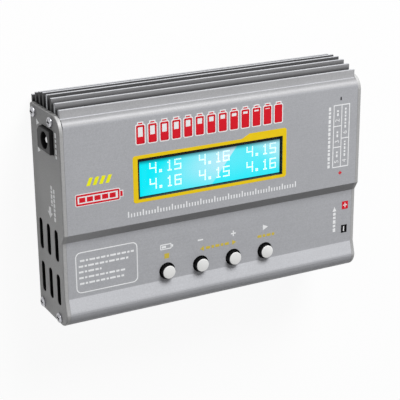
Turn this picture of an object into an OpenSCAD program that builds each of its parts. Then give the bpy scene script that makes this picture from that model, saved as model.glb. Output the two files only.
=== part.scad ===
// Balance charger for lithium packs: a finned aluminium extrusion with a slide-in base and two end plates,
// a two-line display, four push keys, a power inlet on the left end and the outputs on the right end.
// X runs along the length, Y from the lip edge towards the fins, Z up out of the display face.
// Lengths called "from the lip" are measured along Y from the outer lip edge.

/* [Case] */
// Overall length over both end plates
case_l = 133; // [128:1:160]
// Overall width from the lip edge to the tallest fin tips
case_w = 90; // [86:1:110]
// Overall height from the feet to the raised face
case_h = 33; // [32:1:42]
// Thickness of the front wall
front_wall = 2.2; // [1.6:0.1:2.6]
// Thickness of the wall behind the lip
lip_wall = 2.4; // [2.2:0.1:3]
// Thickness of the wall that carries the fins
sink_wall = 4.7; // [4.4:0.1:6]
// Drop from the raised face to the lower face
step_drop = 2.2; // [1:0.1:3]
// Distance from the fin wall to the foot of the step
step_inset = 43.5; // [40.7:0.2:48.7]
// Width of the sloped band of the step
step_run = 3.55; // [2:0.05:5]
// Width of the lip, from the lip edge to the foot of its ramp
lip_run = 12; // [9:0.5:12]
// Rise of the lip above the lower face
lip_rise = 1.6; // [0.4:0.1:2]
// Radius along the lip edge
lip_r = 6.4; // [4:0.1:8]
// Radius along the shoulder between the raised face and the front fin
shoulder_r = 3; // [2:0.1:4]

/* [Fins] */
// Number of fins
fin_count = 8; // [6:1:9]
// Thickness of a fin
fin_t = 1.3; // [1:0.1:1.6]
// Height of the tallest fin above its wall
fin_h = 6.6; // [5:0.1:9]
// Radius of the arc that the fin tips lie on
fin_arc_r = 30; // [26:1:60]

/* [Base] */
// Height of the extrusion's rear edges above the table
rear_gap = 1.5; // [1:0.1:1.8]
// Thickness of the slide-in base
base_t = 2; // [1.5:0.1:2.5]
// Depth of the base above the rear edges
base_recess = 0.9; // [0.6:0.1:1.5]
// Depth of the grooves that hold the base
groove_d = 1.2; // [0.8:0.1:1.4]
// Radius of a rubber foot
foot_r = 5; // [3:0.5:6]
// Distance between the feet along the length
foot_span_x = 108; // [90:1:112]
// Distance between the feet across the width
foot_span_y = 58; // [50:1:60]

/* [End plates] */
// Thickness of an end plate
plate_t = 1.7; // [1.2:0.1:2.5]
// Distance from the tallest fin tips down to the plate's fin-side edge
plate_drop = 5.4; // [3:0.1:6]
// Height of the plate's rear edge above the table
plate_rear = 3.6; // [3:0.1:4.2]
// Radius of the plate's corner at the shoulder
plate_corner_r = 6; // [3:0.2:7]
// Height of a plate's rear screws above the table
screw_rear_z = 7.6; // [7.5:0.1:8.4]
// Distance from the raised face down to a plate's front screws
screw_front_drop = 7.8; // [7.6:0.1:8.6]
// Lip-side screws, from the lip
screw_lip_y = 2.8; // [2.7:0.1:3]
// Distance from the fin wall's outer face to a plate's fin-side screws
screw_fin_drop = 1.9; // [1.8:0.1:2.6]
// Shank radius of a case screw
screw_r = 1.15; // [1:0.05:1.3]
// Head radius of a case screw
screw_head_r = 2; // [1.8:0.1:2.7]
// Head height of a case screw
screw_head_h = 1; // [0.9:0.1:1.5]
// Shank length of a case screw
screw_l = 10; // [6:0.5:14]

/* [Vents] */
// Width of a vent slot
vent_w = 3; // [1.4:0.1:3.6]
// Length of a vent slot
vent_l = 12.8; // [8:0.1:13]
// Distance between the vent slots across the height
vent_pitch = 8; // [6:0.1:8.5]
// Middle of the vent slots above the table
vent_mid_z = 17; // [16:0.1:18]
// Middle of the lip-side vent row, from the lip
vent_row_y = 14.4; // [12:0.1:15]
// Distance between the two vent rows
vent_row_pitch = 18.2; // [17:0.1:20]

/* [Display] */
// Width of the display window
window_w = 64.25; // [60:0.25:66]
// Height of the display window
window_h = 16.15; // [14:0.05:17]
// Middle of the window along the length
window_x = -3.2; // [-6:0.1:0]
// Distance from the fin wall to the middle of the window
window_inset = 22.25; // [22.25:0.05:26]
// Thickness of the clear window
lens_t = 1.2; // [0.8:0.1:1.5]
// Depth of the clear window below the raised face
lens_recess = 0.3; // [0:0.1:0.5]
// Thickness of the display glass
glass_t = 2.2; // [1.6:0.1:2.6]
// Thickness of the backlight
backlight_t = 2.6; // [2:0.1:3]
// Border of the glass around the window
glass_border = 2.4; // [2:0.1:2.6]
// Wall of the display bezel
bezel_t = 0.5; // [0.4:0.05:0.8]
// Length of the display board
lcd_board_l = 80; // [78:0.5:84]
// Width of the display board
lcd_board_w = 34.5; // [33:0.1:34.6]
// Distance from the display board's edges to its mounting holes
lcd_hole_inset = 2.5; // [2.4:0.1:3]
// Number of pins in the display header
header_pins = 16; // [10:1:16]
// Pitch of the header pins
header_pitch = 2.54; // [2:0.02:2.54]

/* [Keys] */
// Distance between the keys
key_pitch = 15; // [12:0.1:17]
// Middle of the key row along the length
key_x = -0.2; // [-4:0.1:4]
// Middle of the key row, from the lip
key_y = 15.7; // [13:0.1:20]
// Radius of a key cap
key_r = 2.75; // [2.4:0.05:3.2]
// Height of a key cap above the lower face
key_rise = 2; // [1:0.1:2.1]
// Gap between a key cap and its hole
key_gap = 0.75; // [0.3:0.05:0.9]
// Radius of the flange that keeps a key cap in
key_flange_r = 4.6; // [4.3:0.1:5]
// Thickness of the flange
key_flange_t = 1.2; // [0.8:0.1:2]
// Radius of the key cap's post
key_post_r = 1.5; // [1.2:0.1:1.6]
// Travel of a key
key_travel = 0.5; // [0.3:0.05:0.6]
// Width of a key switch
switch_w = 6; // [5:0.1:7]
// Height of a key switch
switch_h = 3.5; // [3:0.1:4.5]
// Radius of a key switch's plunger
plunger_r = 1.7; // [1.6:0.05:2]
// Height of the plunger above the switch
plunger_rise = 1.5; // [1:0.1:3]

/* [Boards] */
// Thickness of the circuit boards
board_t = 1.6; // [1.2:0.1:2]
// Distance from the raised face down to the main board's top face
board_drop = 19; // [17.5:0.1:20.5]
// Gap between the main board and the case walls
board_gap = 1; // [0.6:0.1:1.4]
// Distance from the ends of the extrusion to the main board's fixings
fixing_inset = 16.8; // [15:0.1:18]
// Distance from the fin wall to the fin-side fixings
fixing_fin_inset = 12.7; // [12:0.1:13]
// Lip-side fixings, from the lip
fixing_y = 9; // [7:0.1:10]
// Radius of a standoff across its corners
standoff_r = 2.75; // [2.4:0.05:2.9]

/* [Power inlet] */
// Width of the inlet
jack_w = 9; // [8:0.1:10]
// Height of the inlet above the main board
jack_h = 13; // [11:0.1:13.5]
// Length of the inlet
jack_l = 15; // [13:0.1:16]
// Distance that the inlet and the output flanges stand out of the end plates
stand_out = 1.5; // [1.5:0.1:3]
// Gap between the inlet and the fin wall
jack_gap = 0.4; // [0.3:0.1:3]
// Middle of the barrel above the main board
barrel_z = 7.2; // [5:0.1:8]
// Radius of the barrel
barrel_r = 3.3; // [3:0.05:3.4]
// Depth of the barrel
barrel_d = 10; // [8:0.1:11]
// Radius of the centre pin
centre_pin_r = 1.25; // [1:0.05:1.3]
// Chamfer along the inlet's corner
jack_chamfer = 2; // [0.5:0.1:2.5]

/* [Outputs] */
// Middle of the output sockets above the main board
output_z = 6.2; // [6:0.1:7]
// Room that the outputs leave beside the lip-side screws and the balance sockets
output_margin = 1.5; // [0:0.1:1.7]
// Distance between the two outputs
output_pitch = 11; // [10.8:0.1:12.2]
// Radius of an output's bore
output_bore_r = 2.05; // [1.9:0.05:2.2]
// Depth of an output's bore
output_bore_l = 14; // [10:0.5:15]
// Radius of an output's metal sleeve
sleeve_r = 2.6; // [2.5:0.05:2.8]
// Radius of an output's plastic barrel
output_r = 3.6; // [3.4:0.05:3.8]
// Radius of an output's flange
output_flange_r = 5; // [4.4:0.1:5.5]
// Length of an output's plastic barrel behind the plate
output_l = 10; // [8:0.5:11]
// Radius of an output's nut across its corners
nut_r = 5.2; // [4.8:0.1:5.6]
// Thickness of an output's nut
nut_t = 2.5; // [1.5:0.1:3]

/* [Balance sockets] */
// Pitch of the balance pins
pin_pitch = 2.5; // [2:0.1:2.5]
// Width of a balance socket across its row
socket_h = 5.75; // [5.4:0.05:5.8]
// Wall of a balance socket
socket_wall = 0.7; // [0.5:0.05:0.8]
// Length of a balance socket
socket_l = 9; // [8:0.1:10]
// Thickness of a balance socket's floor
socket_floor = 2; // [1.5:0.1:3]
// Distance from the outer pins to a socket's ends
socket_end = 2.45; // [2:0.05:2.5]
// Gap between neighbouring sockets
socket_gap = 1.2; // [1:0.1:1.2]
// Gap between the main board and the lower row
socket_lift = 0.3; // [0.2:0.1:0.5]
// Distance from the fin wall to the middle of the sockets
socket_inset = 22.05; // [21.5:0.05:24]
// Side of a square contact pin
pin_w = 0.64; // [0.5:0.02:0.7]

/* [Power stage] */
// Number of transistors
transistor_count = 4; // [2:1:4]
// Width of a transistor
transistor_w = 10; // [9:0.1:10.5]
// Thickness of a transistor
transistor_t = 4; // [3.6:0.1:4.1]
// Height of a transistor
transistor_h = 14.5; // [12:0.1:15]
// Pitch of the transistors
transistor_pitch = 16; // [15.8:0.1:16.2]
// Thickness of the insulating pad
pad_t = 0.5; // [0.3:0.1:0.5]
// Thickness of the clamp bar
clamp_t = 2; // [1.5:0.1:2.2]
// Height of the clamp bar
clamp_h = 5; // [5:0.1:6]
// Height of the clamp bar's middle above the main board
clamp_z = 5; // [4:0.1:6]
// Radius of a bulk capacitor
capacitor_r = 4; // [3:0.1:4.2]
// Height of a bulk capacitor
capacitor_h = 11.5; // [8:0.1:12.5]
// Pitch of the bulk capacitors
capacitor_pitch = 9.5; // [9:0.1:10]
// Side of a power inductor
inductor_w = 11; // [8:0.1:12.4]
// Height of a power inductor
inductor_h = 8; // [5:0.1:10]
// Radius of the buzzer
buzzer_r = 5.5; // [4:0.1:5.8]
// Height of the buzzer
buzzer_h = 8; // [5:0.1:10]

/* [Hidden] */
$fn = 48;
// Clearance between pieces that are fixed to each other
fit_gap = 0.1;
// Clearance around a shank or a socket in a plate
plate_gap = 0.25;
// Clearance between a key's plunger and its switch
key_fit = 0.1;
// Amount that a cutter runs past the face it cuts
over = 1;

lip_edge = -case_w / 2;
extrusion_l = case_l - 2 * plate_t;
end_in = extrusion_l / 2;
end_out = case_l / 2;
board_top = case_h - board_drop;
z_low = case_h - step_drop;
z_lip = z_low + lip_rise;
z_low_in = z_low - front_wall;
z_raised_in = case_h - front_wall;
sink_face = case_w - fin_h;
sink_in = sink_face - sink_wall;
step_y = sink_in - step_inset;
step_top_y = step_y + step_run;
window_y = sink_in - window_inset;
jack_y = sink_in - jack_gap - jack_w / 2;
socket_y = sink_in - socket_inset;
fin_mid_z = (rear_gap + case_h - shoulder_r) / 2;
fin_pitch = (case_h - shoulder_r - rear_gap - fin_t) / (fin_count - 1);
fin_crown_dz = (1 - fin_count % 2) * fin_pitch / 2;
fin_root = 0.5;
base_z = rear_gap + base_recess;
base_top = base_z + base_t;
plate_top = case_w - plate_drop;
screw_fin_y = sink_face - screw_fin_drop;
screw_ys = [screw_lip_y, screw_fin_y];
screw_zs = [screw_rear_z, case_h - screw_front_drop];
boss_r = 2.6;
pilot_r = screw_r + fit_gap;
recess_w = 0.6;
recess_l = 2.6;
recess_d = 0.6;
rear_corner_r = 1.2;

board_z = board_top - board_t;
board_lip_y = lip_wall + board_gap;
board_fin_y = sink_in - board_gap;
fixing_ys = [fixing_y, sink_in - fixing_fin_inset];
part_gap = 0.5;

bezel_top = z_raised_in;
glass_top = bezel_top - bezel_t;
backlight_top = glass_top - glass_t;
lcd_board_top = backlight_top - backlight_t;
lcd_board_z = lcd_board_top - board_t;
glass_w = window_w + 2 * glass_border;
glass_h = window_h + 2 * glass_border;
bezel_opening = 0.8;
lcd_hole_xs = [-lcd_board_l / 2 + lcd_hole_inset, lcd_board_l / 2 - lcd_hole_inset];
lcd_hole_ys = [-lcd_board_w / 2 + lcd_hole_inset, lcd_board_w / 2 - lcd_hole_inset];
lcd_screw_head_r = 2.1;
lcd_screw_head_h = 1.3;
lcd_screw_l = 7;
lcd_spacer_r = 2.4;
header_w = 2.5;
header_inset = 2;
header_tail = 1;
header_y = window_y - lcd_board_w / 2 + header_inset;

key_count = 4;
key_hole_r = key_r + key_gap;
key_rest_gap = 0.3;
key_flange_top = z_low_in - key_rest_gap;
plunger_top = board_top + switch_h + plunger_rise;
dome_t = 0.25;
dome_r = 1.4;
switch_floor = 0.8;
dome_z = board_top + switch_floor;
plunger_z = dome_z + dome_t + key_travel + key_fit;
key_xs = [for (i = [0 : key_count - 1]) key_x + (i - (key_count - 1) / 2) * key_pitch];

row_cells = [[5, 3, 2], [4, 6]];
row_pitch = socket_h + socket_gap;
low_row_z = board_top + socket_lift + socket_h / 2;
row_zs = [low_row_z + row_pitch, low_row_z];
front_row_lip_y = socket_y - row_w(0) / 2;
socket_board_x = end_out - socket_l - board_t;
socket_board_margin = 0.6;
pin_tail = 1;
pin_end_gap = 2;

output_mid_y = (screw_lip_y + screw_head_r + output_margin + front_row_lip_y) / 2;
output_y = output_mid_y - output_pitch / 2;
output_ys = [output_y, output_y + output_pitch];
output_abs_z = board_top + output_z;
sleeve_floor = 2;
sleeve_end_x = end_out + stand_out - output_bore_l - sleeve_floor;

pad_y = sink_in - pad_t;
transistor_y = pad_y - transistor_t;
clamp_y = transistor_y - clamp_t;
clamp_margin = 2;
transistor_run = (transistor_count - 1) * transistor_pitch + transistor_w;
transistor_xs = [for (i = [0 : transistor_count - 1])
    window_x + (i - (transistor_count - 1) / 2) * transistor_pitch];
clamp_screw_xs = [for (i = [0 : transistor_count - 2]) transistor_xs[i] + transistor_pitch / 2];
clamp_grip = 3.4;
clamp_screw_l = clamp_t + transistor_t + pad_t + clamp_grip;
clamp_pilot_l = clamp_grip + 2 * fit_gap;
clamp_hole_r = screw_r + plate_gap;
part_end_gap = 4.3;
buzzer_inset = 20.7;
buzzer_x = -end_in + part_end_gap + buzzer_r;
buzzer_y = sink_in - buzzer_inset;
capacitor_count = 4;
capacitor_x = -end_in + part_end_gap + capacitor_r;
capacitor_fin_y = buzzer_y - buzzer_r - part_gap - capacitor_r;
inductor_inset = 24.7;
inductor_pitch = 14;
inductor_ys = [sink_in - inductor_inset - inductor_pitch, sink_in - inductor_inset];
inductor_x = (window_x + lcd_hole_xs[1] + lcd_spacer_r + socket_board_x - pin_tail) / 2;
chip_w = 5;
chip_l = 6;
chip_h = 1.6;
chip_y = (key_y + header_y) / 2;
chip_count = 4;
chip_pitch = 12;
controller_w = 12;
fuse_l = 11;
fuse_w = 5;
fuse_h = 9;
fuse_gap = 4.5;
fuse_x = sleeve_end_x - part_gap - fuse_l / 2;
fuse_y = inductor_ys[0] - inductor_w / 2 - fuse_gap - fuse_w / 2;

// Y of a distance from the lip edge
function from_lip(d) = lip_edge + d;

// Drop of the fin tips' arc at a height above or below its crown
function fin_sag(dz) = fin_arc_r - sqrt(pow(fin_arc_r, 2) - pow(dz, 2));

// Distance from the lip to the tip of a fin whose middle is at height z
function fin_tip(z) = case_w + fin_sag(fin_crown_dz) - fin_sag(z - fin_mid_z);

// Width of a balance socket for a number of cells
function socket_w(cells) = cells * pin_pitch + 2 * socket_end;

// Sum of the first n entries of a list
function sum(list, n) = n <= 0 ? 0 : list[n - 1] + sum(list, n - 1);

// Widths of a row's sockets, each with the gap after it
function row_widths(row) = [for (cells = row_cells[row]) socket_w(cells) + socket_gap];

// Width of a row of sockets
function row_w(row) = sum(row_widths(row), len(row_cells[row])) - socket_gap;

// Middle of the socket at a place in a row, from the lip
function socket_mid(row, place) =
    socket_y - row_w(row) / 2 + sum(row_widths(row), place) + socket_w(row_cells[row][place]) / 2;

// Extrudes a Y, Z outline along X
module along_x(x, length) {
    translate([x, 0, 0]) rotate([90, 0, 90]) linear_extrude(length) children();
}

// Cylinder along X
module rod_x(r, length, sides = $fn) {
    rotate([0, 90, 0]) cylinder(r = r, h = length, $fn = sides);
}

// Waste outside a rounded corner, with the signs of the two directions that point out of it
module corner_waste(corner, r, out) {
    side = r + over;
    translate([corner[0] - out[0] * r, corner[1] - out[1] * r])
        difference() {
            translate([out[0] > 0 ? 0 : -side, out[1] > 0 ? 0 : -side]) square(side);
            circle(r);
        }
}

// Pan head screw along +Z with its head's seat at the origin and its shank below
module pan_screw(shank_r, shank_l, head_r, head_h) {
    difference() {
        cylinder(r = head_r, h = head_h);
        for (turn = [0, 90])
            rotate([0, 0, turn])
                translate([-recess_l / 2, -recess_w / 2, head_h - recess_d])
                    cube([recess_l, recess_w, recess_d + over]);
    }
    translate([0, 0, -shank_l]) cylinder(r = shank_r, h = shank_l);
}

// Front edge of the case in the Y, Z plane, from the lip to a fin-side edge
function front_points(fin_side, rear) = [
    [lip_edge, rear],
    [lip_edge, z_lip],
    [from_lip(lip_r), z_lip],
    [from_lip(lip_run), z_low],
    [from_lip(step_y), z_low],
    [from_lip(step_top_y), case_h],
    [from_lip(fin_side), case_h],
    [from_lip(fin_side), rear]
];

// Walls of the extrusion, with the hollow and the grooves of the base
module shell_profile() {
    difference() {
        polygon(front_points(sink_face, rear_gap));
        corner_waste([lip_edge, z_lip], lip_r, [-1, 1]);
        corner_waste([from_lip(sink_face), case_h], shoulder_r, [1, 1]);
        translate([from_lip(lip_wall), rear_gap - over])
            square([sink_in - lip_wall, z_low_in - rear_gap + over]);
        translate([from_lip(step_top_y), rear_gap])
            square([sink_in - step_top_y, z_raised_in - rear_gap]);
        translate([from_lip(lip_wall - groove_d), base_z - fit_gap])
            square([sink_in - lip_wall + 2 * groove_d, base_t + 2 * fit_gap]);
    }
}

// Ribs inside the lip that take the end plates' screws
module lip_ribs() {
    for (z = screw_zs)
        translate([-end_in, from_lip(screw_lip_y), z]) rod_x(boss_r, extrusion_l);
}

module fins() {
    for (i = [0 : fin_count - 1]) {
        z = fin_mid_z + (i - (fin_count - 1) / 2) * fin_pitch;
        translate([-end_in, from_lip(sink_face - fin_root), z - fin_t / 2])
            cube([extrusion_l, fin_tip(z) - sink_face + fin_root, fin_t]);
    }
}

module heat_sink_shell() {
    color("silver")
    difference() {
        union() {
            along_x(-end_in, extrusion_l) shell_profile();
            lip_ribs();
            fins();
        }
        for (y = screw_ys)
            for (z = screw_zs)
                for (x = [-end_in - over, end_in - screw_l])
                    translate([x, from_lip(y), z]) rod_x(pilot_r, screw_l + over);
        translate([window_x - window_w / 2, from_lip(window_y) - window_h / 2, z_raised_in - over])
            cube([window_w, window_h, front_wall + 2 * over]);
        for (x = key_xs)
            translate([x, from_lip(key_y), z_low_in - over])
                cylinder(r = key_hole_r, h = front_wall + lip_rise + 2 * over);
        for (x = clamp_screw_xs)
            translate([x, from_lip(sink_in - over), board_top + clamp_z])
                rotate([-90, 0, 0]) cylinder(r = pilot_r, h = clamp_pilot_l + over);
    }
}

module base_cover() {
    color("darkgray")
    translate([-end_in, from_lip(lip_wall - groove_d + fit_gap), base_z])
        cube([extrusion_l, sink_in - lip_wall + 2 * groove_d - 2 * fit_gap, base_t]);
}

module plate_profile() {
    difference() {
        polygon(front_points(plate_top, plate_rear));
        corner_waste([lip_edge, z_lip], lip_r, [-1, 1]);
        corner_waste([from_lip(plate_top), case_h], plate_corner_r, [1, 1]);
        corner_waste([from_lip(plate_top), plate_rear], rear_corner_r, [1, -1]);
        corner_waste([lip_edge, plate_rear], rear_corner_r, [-1, -1]);
        for (y = screw_ys)
            for (z = screw_zs)
                translate([from_lip(y), z]) circle(screw_r + plate_gap);
    }
}

module vent_slot() {
    straight = vent_l - vent_w;
    translate([-straight / 2, -vent_w / 2]) square([straight, vent_w]);
    for (end = [-1, 1])
        translate([end * straight / 2, 0]) circle(vent_w / 2);
}

// Outline of the power inlet, grown by a clearance
module jack_profile(grow) {
    low_y = from_lip(jack_y) - jack_w / 2 - grow;
    high_y = from_lip(jack_y) + jack_w / 2 + grow;
    low_z = board_top - grow;
    high_z = board_top + jack_h + grow;
    polygon([
        [low_y, low_z],
        [high_y - jack_chamfer, low_z],
        [high_y, low_z + jack_chamfer],
        [high_y, high_z],
        [low_y, high_z]
    ]);
}

module left_end_plate() {
    color("gray")
    along_x(-end_out, plate_t)
        difference() {
            plate_profile();
            for (row = [0, 1])
                for (column = [-1 : 1])
                    translate([from_lip(vent_row_y + row * vent_row_pitch), vent_mid_z + column * vent_pitch])
                        vent_slot();
            jack_profile(plate_gap);
        }
}

// Outline of every balance socket, grown by a clearance
module socket_profiles(grow) {
    for (row = [0 : len(row_cells) - 1])
        for (place = [0 : len(row_cells[row]) - 1]) {
            w = socket_w(row_cells[row][place]) + 2 * grow;
            h = socket_h + 2 * grow;
            translate([from_lip(socket_mid(row, place)) - w / 2, row_zs[row] - h / 2]) square([w, h]);
        }
}

module right_end_plate() {
    color("gray")
    along_x(end_in, plate_t)
        difference() {
            plate_profile();
            socket_profiles(plate_gap);
            for (y = output_ys)
                translate([from_lip(y), output_abs_z]) circle(output_r + plate_gap);
        }
}

// The four screws of one end plate, with the sign of the end
module plate_screws(end) {
    color("whitesmoke")
    for (y = screw_ys)
        for (z = screw_zs)
            translate([end * end_out, from_lip(y), z])
                rotate([0, end * 90, 0])
                    pan_screw(screw_r, screw_l - over, screw_head_r, screw_head_h);
}

module left_plate_screws() {
    plate_screws(-1);
}

module right_plate_screws() {
    plate_screws(1);
}

module rubber_feet() {
    color("black")
    for (x = [-1, 1])
        for (y = [-1, 1])
            translate([x * foot_span_x / 2, from_lip((lip_wall + sink_in) / 2) + y * foot_span_y / 2, 0])
                cylinder(r = foot_r, h = base_z);
}

module display_lens() {
    color("lightcyan", 0.4)
    translate([window_x - window_w / 2 + fit_gap, from_lip(window_y) - window_h / 2 + fit_gap,
            case_h - lens_recess - lens_t])
        cube([window_w - 2 * fit_gap, window_h - 2 * fit_gap, lens_t]);
}

// Block centred on the window, with its underside at a height
module window_block(w, h, z, t) {
    translate([window_x - w / 2, from_lip(window_y) - h / 2, z]) cube([w, h, t]);
}

module lcd_bezel() {
    inner_w = glass_w + 2 * fit_gap;
    inner_h = glass_h + 2 * fit_gap;
    opening_w = window_w + 2 * bezel_opening;
    opening_h = window_h + 2 * bezel_opening;
    color("black")
    difference() {
        window_block(inner_w + 2 * bezel_t, inner_h + 2 * bezel_t, lcd_board_top, bezel_top - lcd_board_top);
        window_block(inner_w, inner_h, lcd_board_top - over, glass_top - lcd_board_top + over);
        window_block(opening_w, opening_h, glass_top - over, bezel_t + 2 * over);
    }
}

module lcd_glass() {
    color("deepskyblue")
    window_block(glass_w, glass_h, backlight_top, glass_t);
}

module lcd_backlight() {
    color("aliceblue")
    window_block(glass_w, glass_h, lcd_board_top, backlight_t);
}

// Places of the display header's pins
module at_header_pins() {
    for (i = [0 : header_pins - 1])
        translate([window_x + (i - (header_pins - 1) / 2) * header_pitch, from_lip(header_y), 0])
            children();
}

// Square contact pins or their holes, upright
module header_columns(w, z, length) {
    at_header_pins()
        translate([-w / 2, -w / 2, z]) cube([w, w, length]);
}

// Places of the display board's fixings
module at_lcd_holes() {
    for (x = lcd_hole_xs)
        for (y = lcd_hole_ys)
            translate([window_x + x, from_lip(window_y) + y, 0]) children();
}

module lcd_board() {
    color("darkgreen")
    difference() {
        window_block(lcd_board_l, lcd_board_w, lcd_board_z, board_t);
        at_lcd_holes()
            translate([0, 0, lcd_board_z - over]) cylinder(r = screw_r + plate_gap, h = board_t + 2 * over);
        header_columns(pin_w + 2 * fit_gap, lcd_board_z - over, board_t + 2 * over);
    }
}

module lcd_spacers() {
    color("goldenrod")
    at_lcd_holes()
        difference() {
            translate([0, 0, board_top]) cylinder(r = lcd_spacer_r, h = lcd_board_z - board_top, $fn = 6);
            translate([0, 0, lcd_board_top - lcd_screw_l - over])
                cylinder(r = pilot_r, h = lcd_screw_l + 2 * over);
        }
}

module lcd_screws() {
    color("whitesmoke")
    at_lcd_holes()
        translate([0, 0, lcd_board_top]) pan_screw(screw_r, lcd_screw_l, lcd_screw_head_r, lcd_screw_head_h);
}

module lcd_header() {
    length = header_pins * header_pitch;
    color("black")
    difference() {
        translate([window_x - length / 2, from_lip(header_y) - header_w / 2, board_top])
            cube([length, header_w, lcd_board_z - board_top]);
        header_columns(pin_w + 2 * fit_gap, board_top - over, lcd_board_z - board_top + 2 * over);
    }
}

module lcd_header_pins() {
    color("gold")
    header_columns(pin_w, board_z - header_tail, lcd_board_top - board_z + 2 * header_tail);
}

// Places of the main board's fixings
module at_fixings() {
    for (x = [-1, 1])
        for (y = fixing_ys)
            translate([x * (end_in - fixing_inset), from_lip(y), 0]) children();
}

module main_board() {
    color("darkgreen")
    difference() {
        translate([-end_in + board_gap, from_lip(board_lip_y), board_z])
            cube([extrusion_l - 2 * board_gap, board_fin_y - board_lip_y, board_t]);
        at_fixings()
            translate([0, 0, board_z - over]) cylinder(r = screw_r + plate_gap, h = board_t + 2 * over);
        header_columns(pin_w + 2 * fit_gap, board_z - over, board_t + 2 * over);
    }
}

module board_standoffs() {
    color("goldenrod")
    at_fixings()
        difference() {
            translate([0, 0, base_top]) cylinder(r = standoff_r, h = board_z - base_top, $fn = 6);
            translate([0, 0, base_top + over]) cylinder(r = pilot_r, h = board_z - base_top);
        }
}

module board_screws() {
    color("whitesmoke")
    at_fixings()
        translate([0, 0, board_top])
            pan_screw(screw_r, board_t + (board_z - base_top) / 2, screw_head_r, screw_head_h);
}

// Push key: the cap that shows, the flange behind the front wall and the post down to the switch
module key_cap(i) {
    color("whitesmoke")
    translate([key_xs[i], from_lip(key_y), 0]) {
        translate([0, 0, plunger_top]) cylinder(r = key_post_r, h = key_flange_top - plunger_top);
        translate([0, 0, key_flange_top - key_flange_t]) cylinder(r = key_flange_r, h = key_flange_t);
        translate([0, 0, key_flange_top - key_flange_t])
            cylinder(r = key_r, h = z_low + key_rise - key_flange_top + key_flange_t);
    }
}

module key_cap_1() {
    key_cap(0);
}

module key_cap_2() {
    key_cap(1);
}

module key_cap_3() {
    key_cap(2);
}

module key_cap_4() {
    key_cap(3);
}

module key_plunger(i) {
    color("dimgray")
    translate([key_xs[i], from_lip(key_y), plunger_z]) cylinder(r = plunger_r, h = plunger_top - plunger_z);
}

module key_plunger_1() {
    key_plunger(0);
}

module key_plunger_2() {
    key_plunger(1);
}

module key_plunger_3() {
    key_plunger(2);
}

module key_plunger_4() {
    key_plunger(3);
}

module key_switches() {
    color("black")
    for (x = key_xs)
        translate([x, from_lip(key_y), 0])
            difference() {
                translate([-switch_w / 2, -switch_w / 2, board_top]) cube([switch_w, switch_w, switch_h]);
                translate([0, 0, dome_z]) cylinder(r = plunger_r + key_fit, h = switch_h + over);
            }
}

module key_domes() {
    color("silver")
    for (x = key_xs)
        translate([x, from_lip(key_y), dome_z]) cylinder(r = dome_r, h = dome_t);
}

module dc_jack_body() {
    color("black")
    difference() {
        along_x(-end_out - stand_out, jack_l) jack_profile(0);
        translate([-end_out - stand_out - over, from_lip(jack_y), board_top + barrel_z])
            rod_x(barrel_r, barrel_d + over);
        translate([-end_out - stand_out, from_lip(jack_y), board_top + barrel_z])
            rod_x(centre_pin_r + fit_gap, jack_l + over);
    }
}

module dc_jack_pin() {
    color("silver")
    translate([-end_out - stand_out + over, from_lip(jack_y), board_top + barrel_z])
        rod_x(centre_pin_r, jack_l - over);
}

// Plastic body of an output: the flange outside the plate and the barrel through it
module output_socket(y) {
    difference() {
        translate([end_in - output_l, from_lip(y), output_abs_z]) {
            rod_x(output_r, output_l + plate_t);
            translate([output_l + plate_t, 0, 0]) rod_x(output_flange_r, stand_out);
        }
        translate([end_in - output_l - over, from_lip(y), output_abs_z])
            rod_x(sleeve_r + fit_gap, output_l + plate_t + stand_out + 2 * over);
    }
}

module positive_socket() {
    color("red") output_socket(output_ys[1]);
}

module negative_socket() {
    color("black") output_socket(output_ys[0]);
}

// Metal sleeve of an output, with a blind bore that opens outwards
module output_sleeve(y) {
    color("gold")
    translate([end_out + stand_out - output_bore_l, from_lip(y), output_abs_z])
        difference() {
            translate([-sleeve_floor, 0, 0]) rod_x(sleeve_r, output_bore_l + sleeve_floor);
            rod_x(output_bore_r, output_bore_l + over);
        }
}

module positive_sleeve() {
    output_sleeve(output_ys[1]);
}

module negative_sleeve() {
    output_sleeve(output_ys[0]);
}

module output_nuts() {
    color("silver")
    for (y = output_ys)
        translate([end_in - nut_t, from_lip(y), output_abs_z])
            difference() {
                rod_x(nut_r, nut_t, 6);
                translate([-over, 0, 0]) rod_x(output_r + fit_gap, nut_t + 2 * over);
            }
}

// Square balance pins of one socket, or their holes, along X
module pin_row(row, place, w, x, length) {
    cells = row_cells[row][place];
    first_y = from_lip(socket_mid(row, place)) - cells * pin_pitch / 2;
    for (i = [0 : cells])
        translate([x, first_y + i * pin_pitch - w / 2, row_zs[row] - w / 2])
            cube([length, w, w]);
}

module all_pin_rows(w, x, length) {
    for (row = [0 : len(row_cells) - 1])
        for (place = [0 : len(row_cells[row]) - 1])
            pin_row(row, place, w, x, length);
}

// Shrouded balance socket at a place in a row, open to the right
module balance_socket(row, place) {
    w = socket_w(row_cells[row][place]);
    x = end_out - socket_l;
    y = from_lip(socket_mid(row, place)) - w / 2;
    z = row_zs[row] - socket_h / 2;
    color("ivory")
    difference() {
        translate([x, y, z]) cube([socket_l, w, socket_h]);
        translate([x + socket_floor, y + socket_wall, z + socket_wall])
            cube([socket_l, w - 2 * socket_wall, socket_h - 2 * socket_wall]);
        pin_row(row, place, pin_w + 2 * fit_gap, end_out - socket_l - over, socket_l);
    }
}

module balance_socket_2() {
    balance_socket(0, 2);
}

module balance_socket_3() {
    balance_socket(0, 1);
}

module balance_socket_4() {
    balance_socket(1, 0);
}

module balance_socket_5() {
    balance_socket(0, 0);
}

module balance_socket_6() {
    balance_socket(1, 1);
}

module balance_pins() {
    color("silver")
    all_pin_rows(pin_w, socket_board_x - pin_tail, end_out - pin_end_gap - socket_board_x + pin_tail);
}

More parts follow.
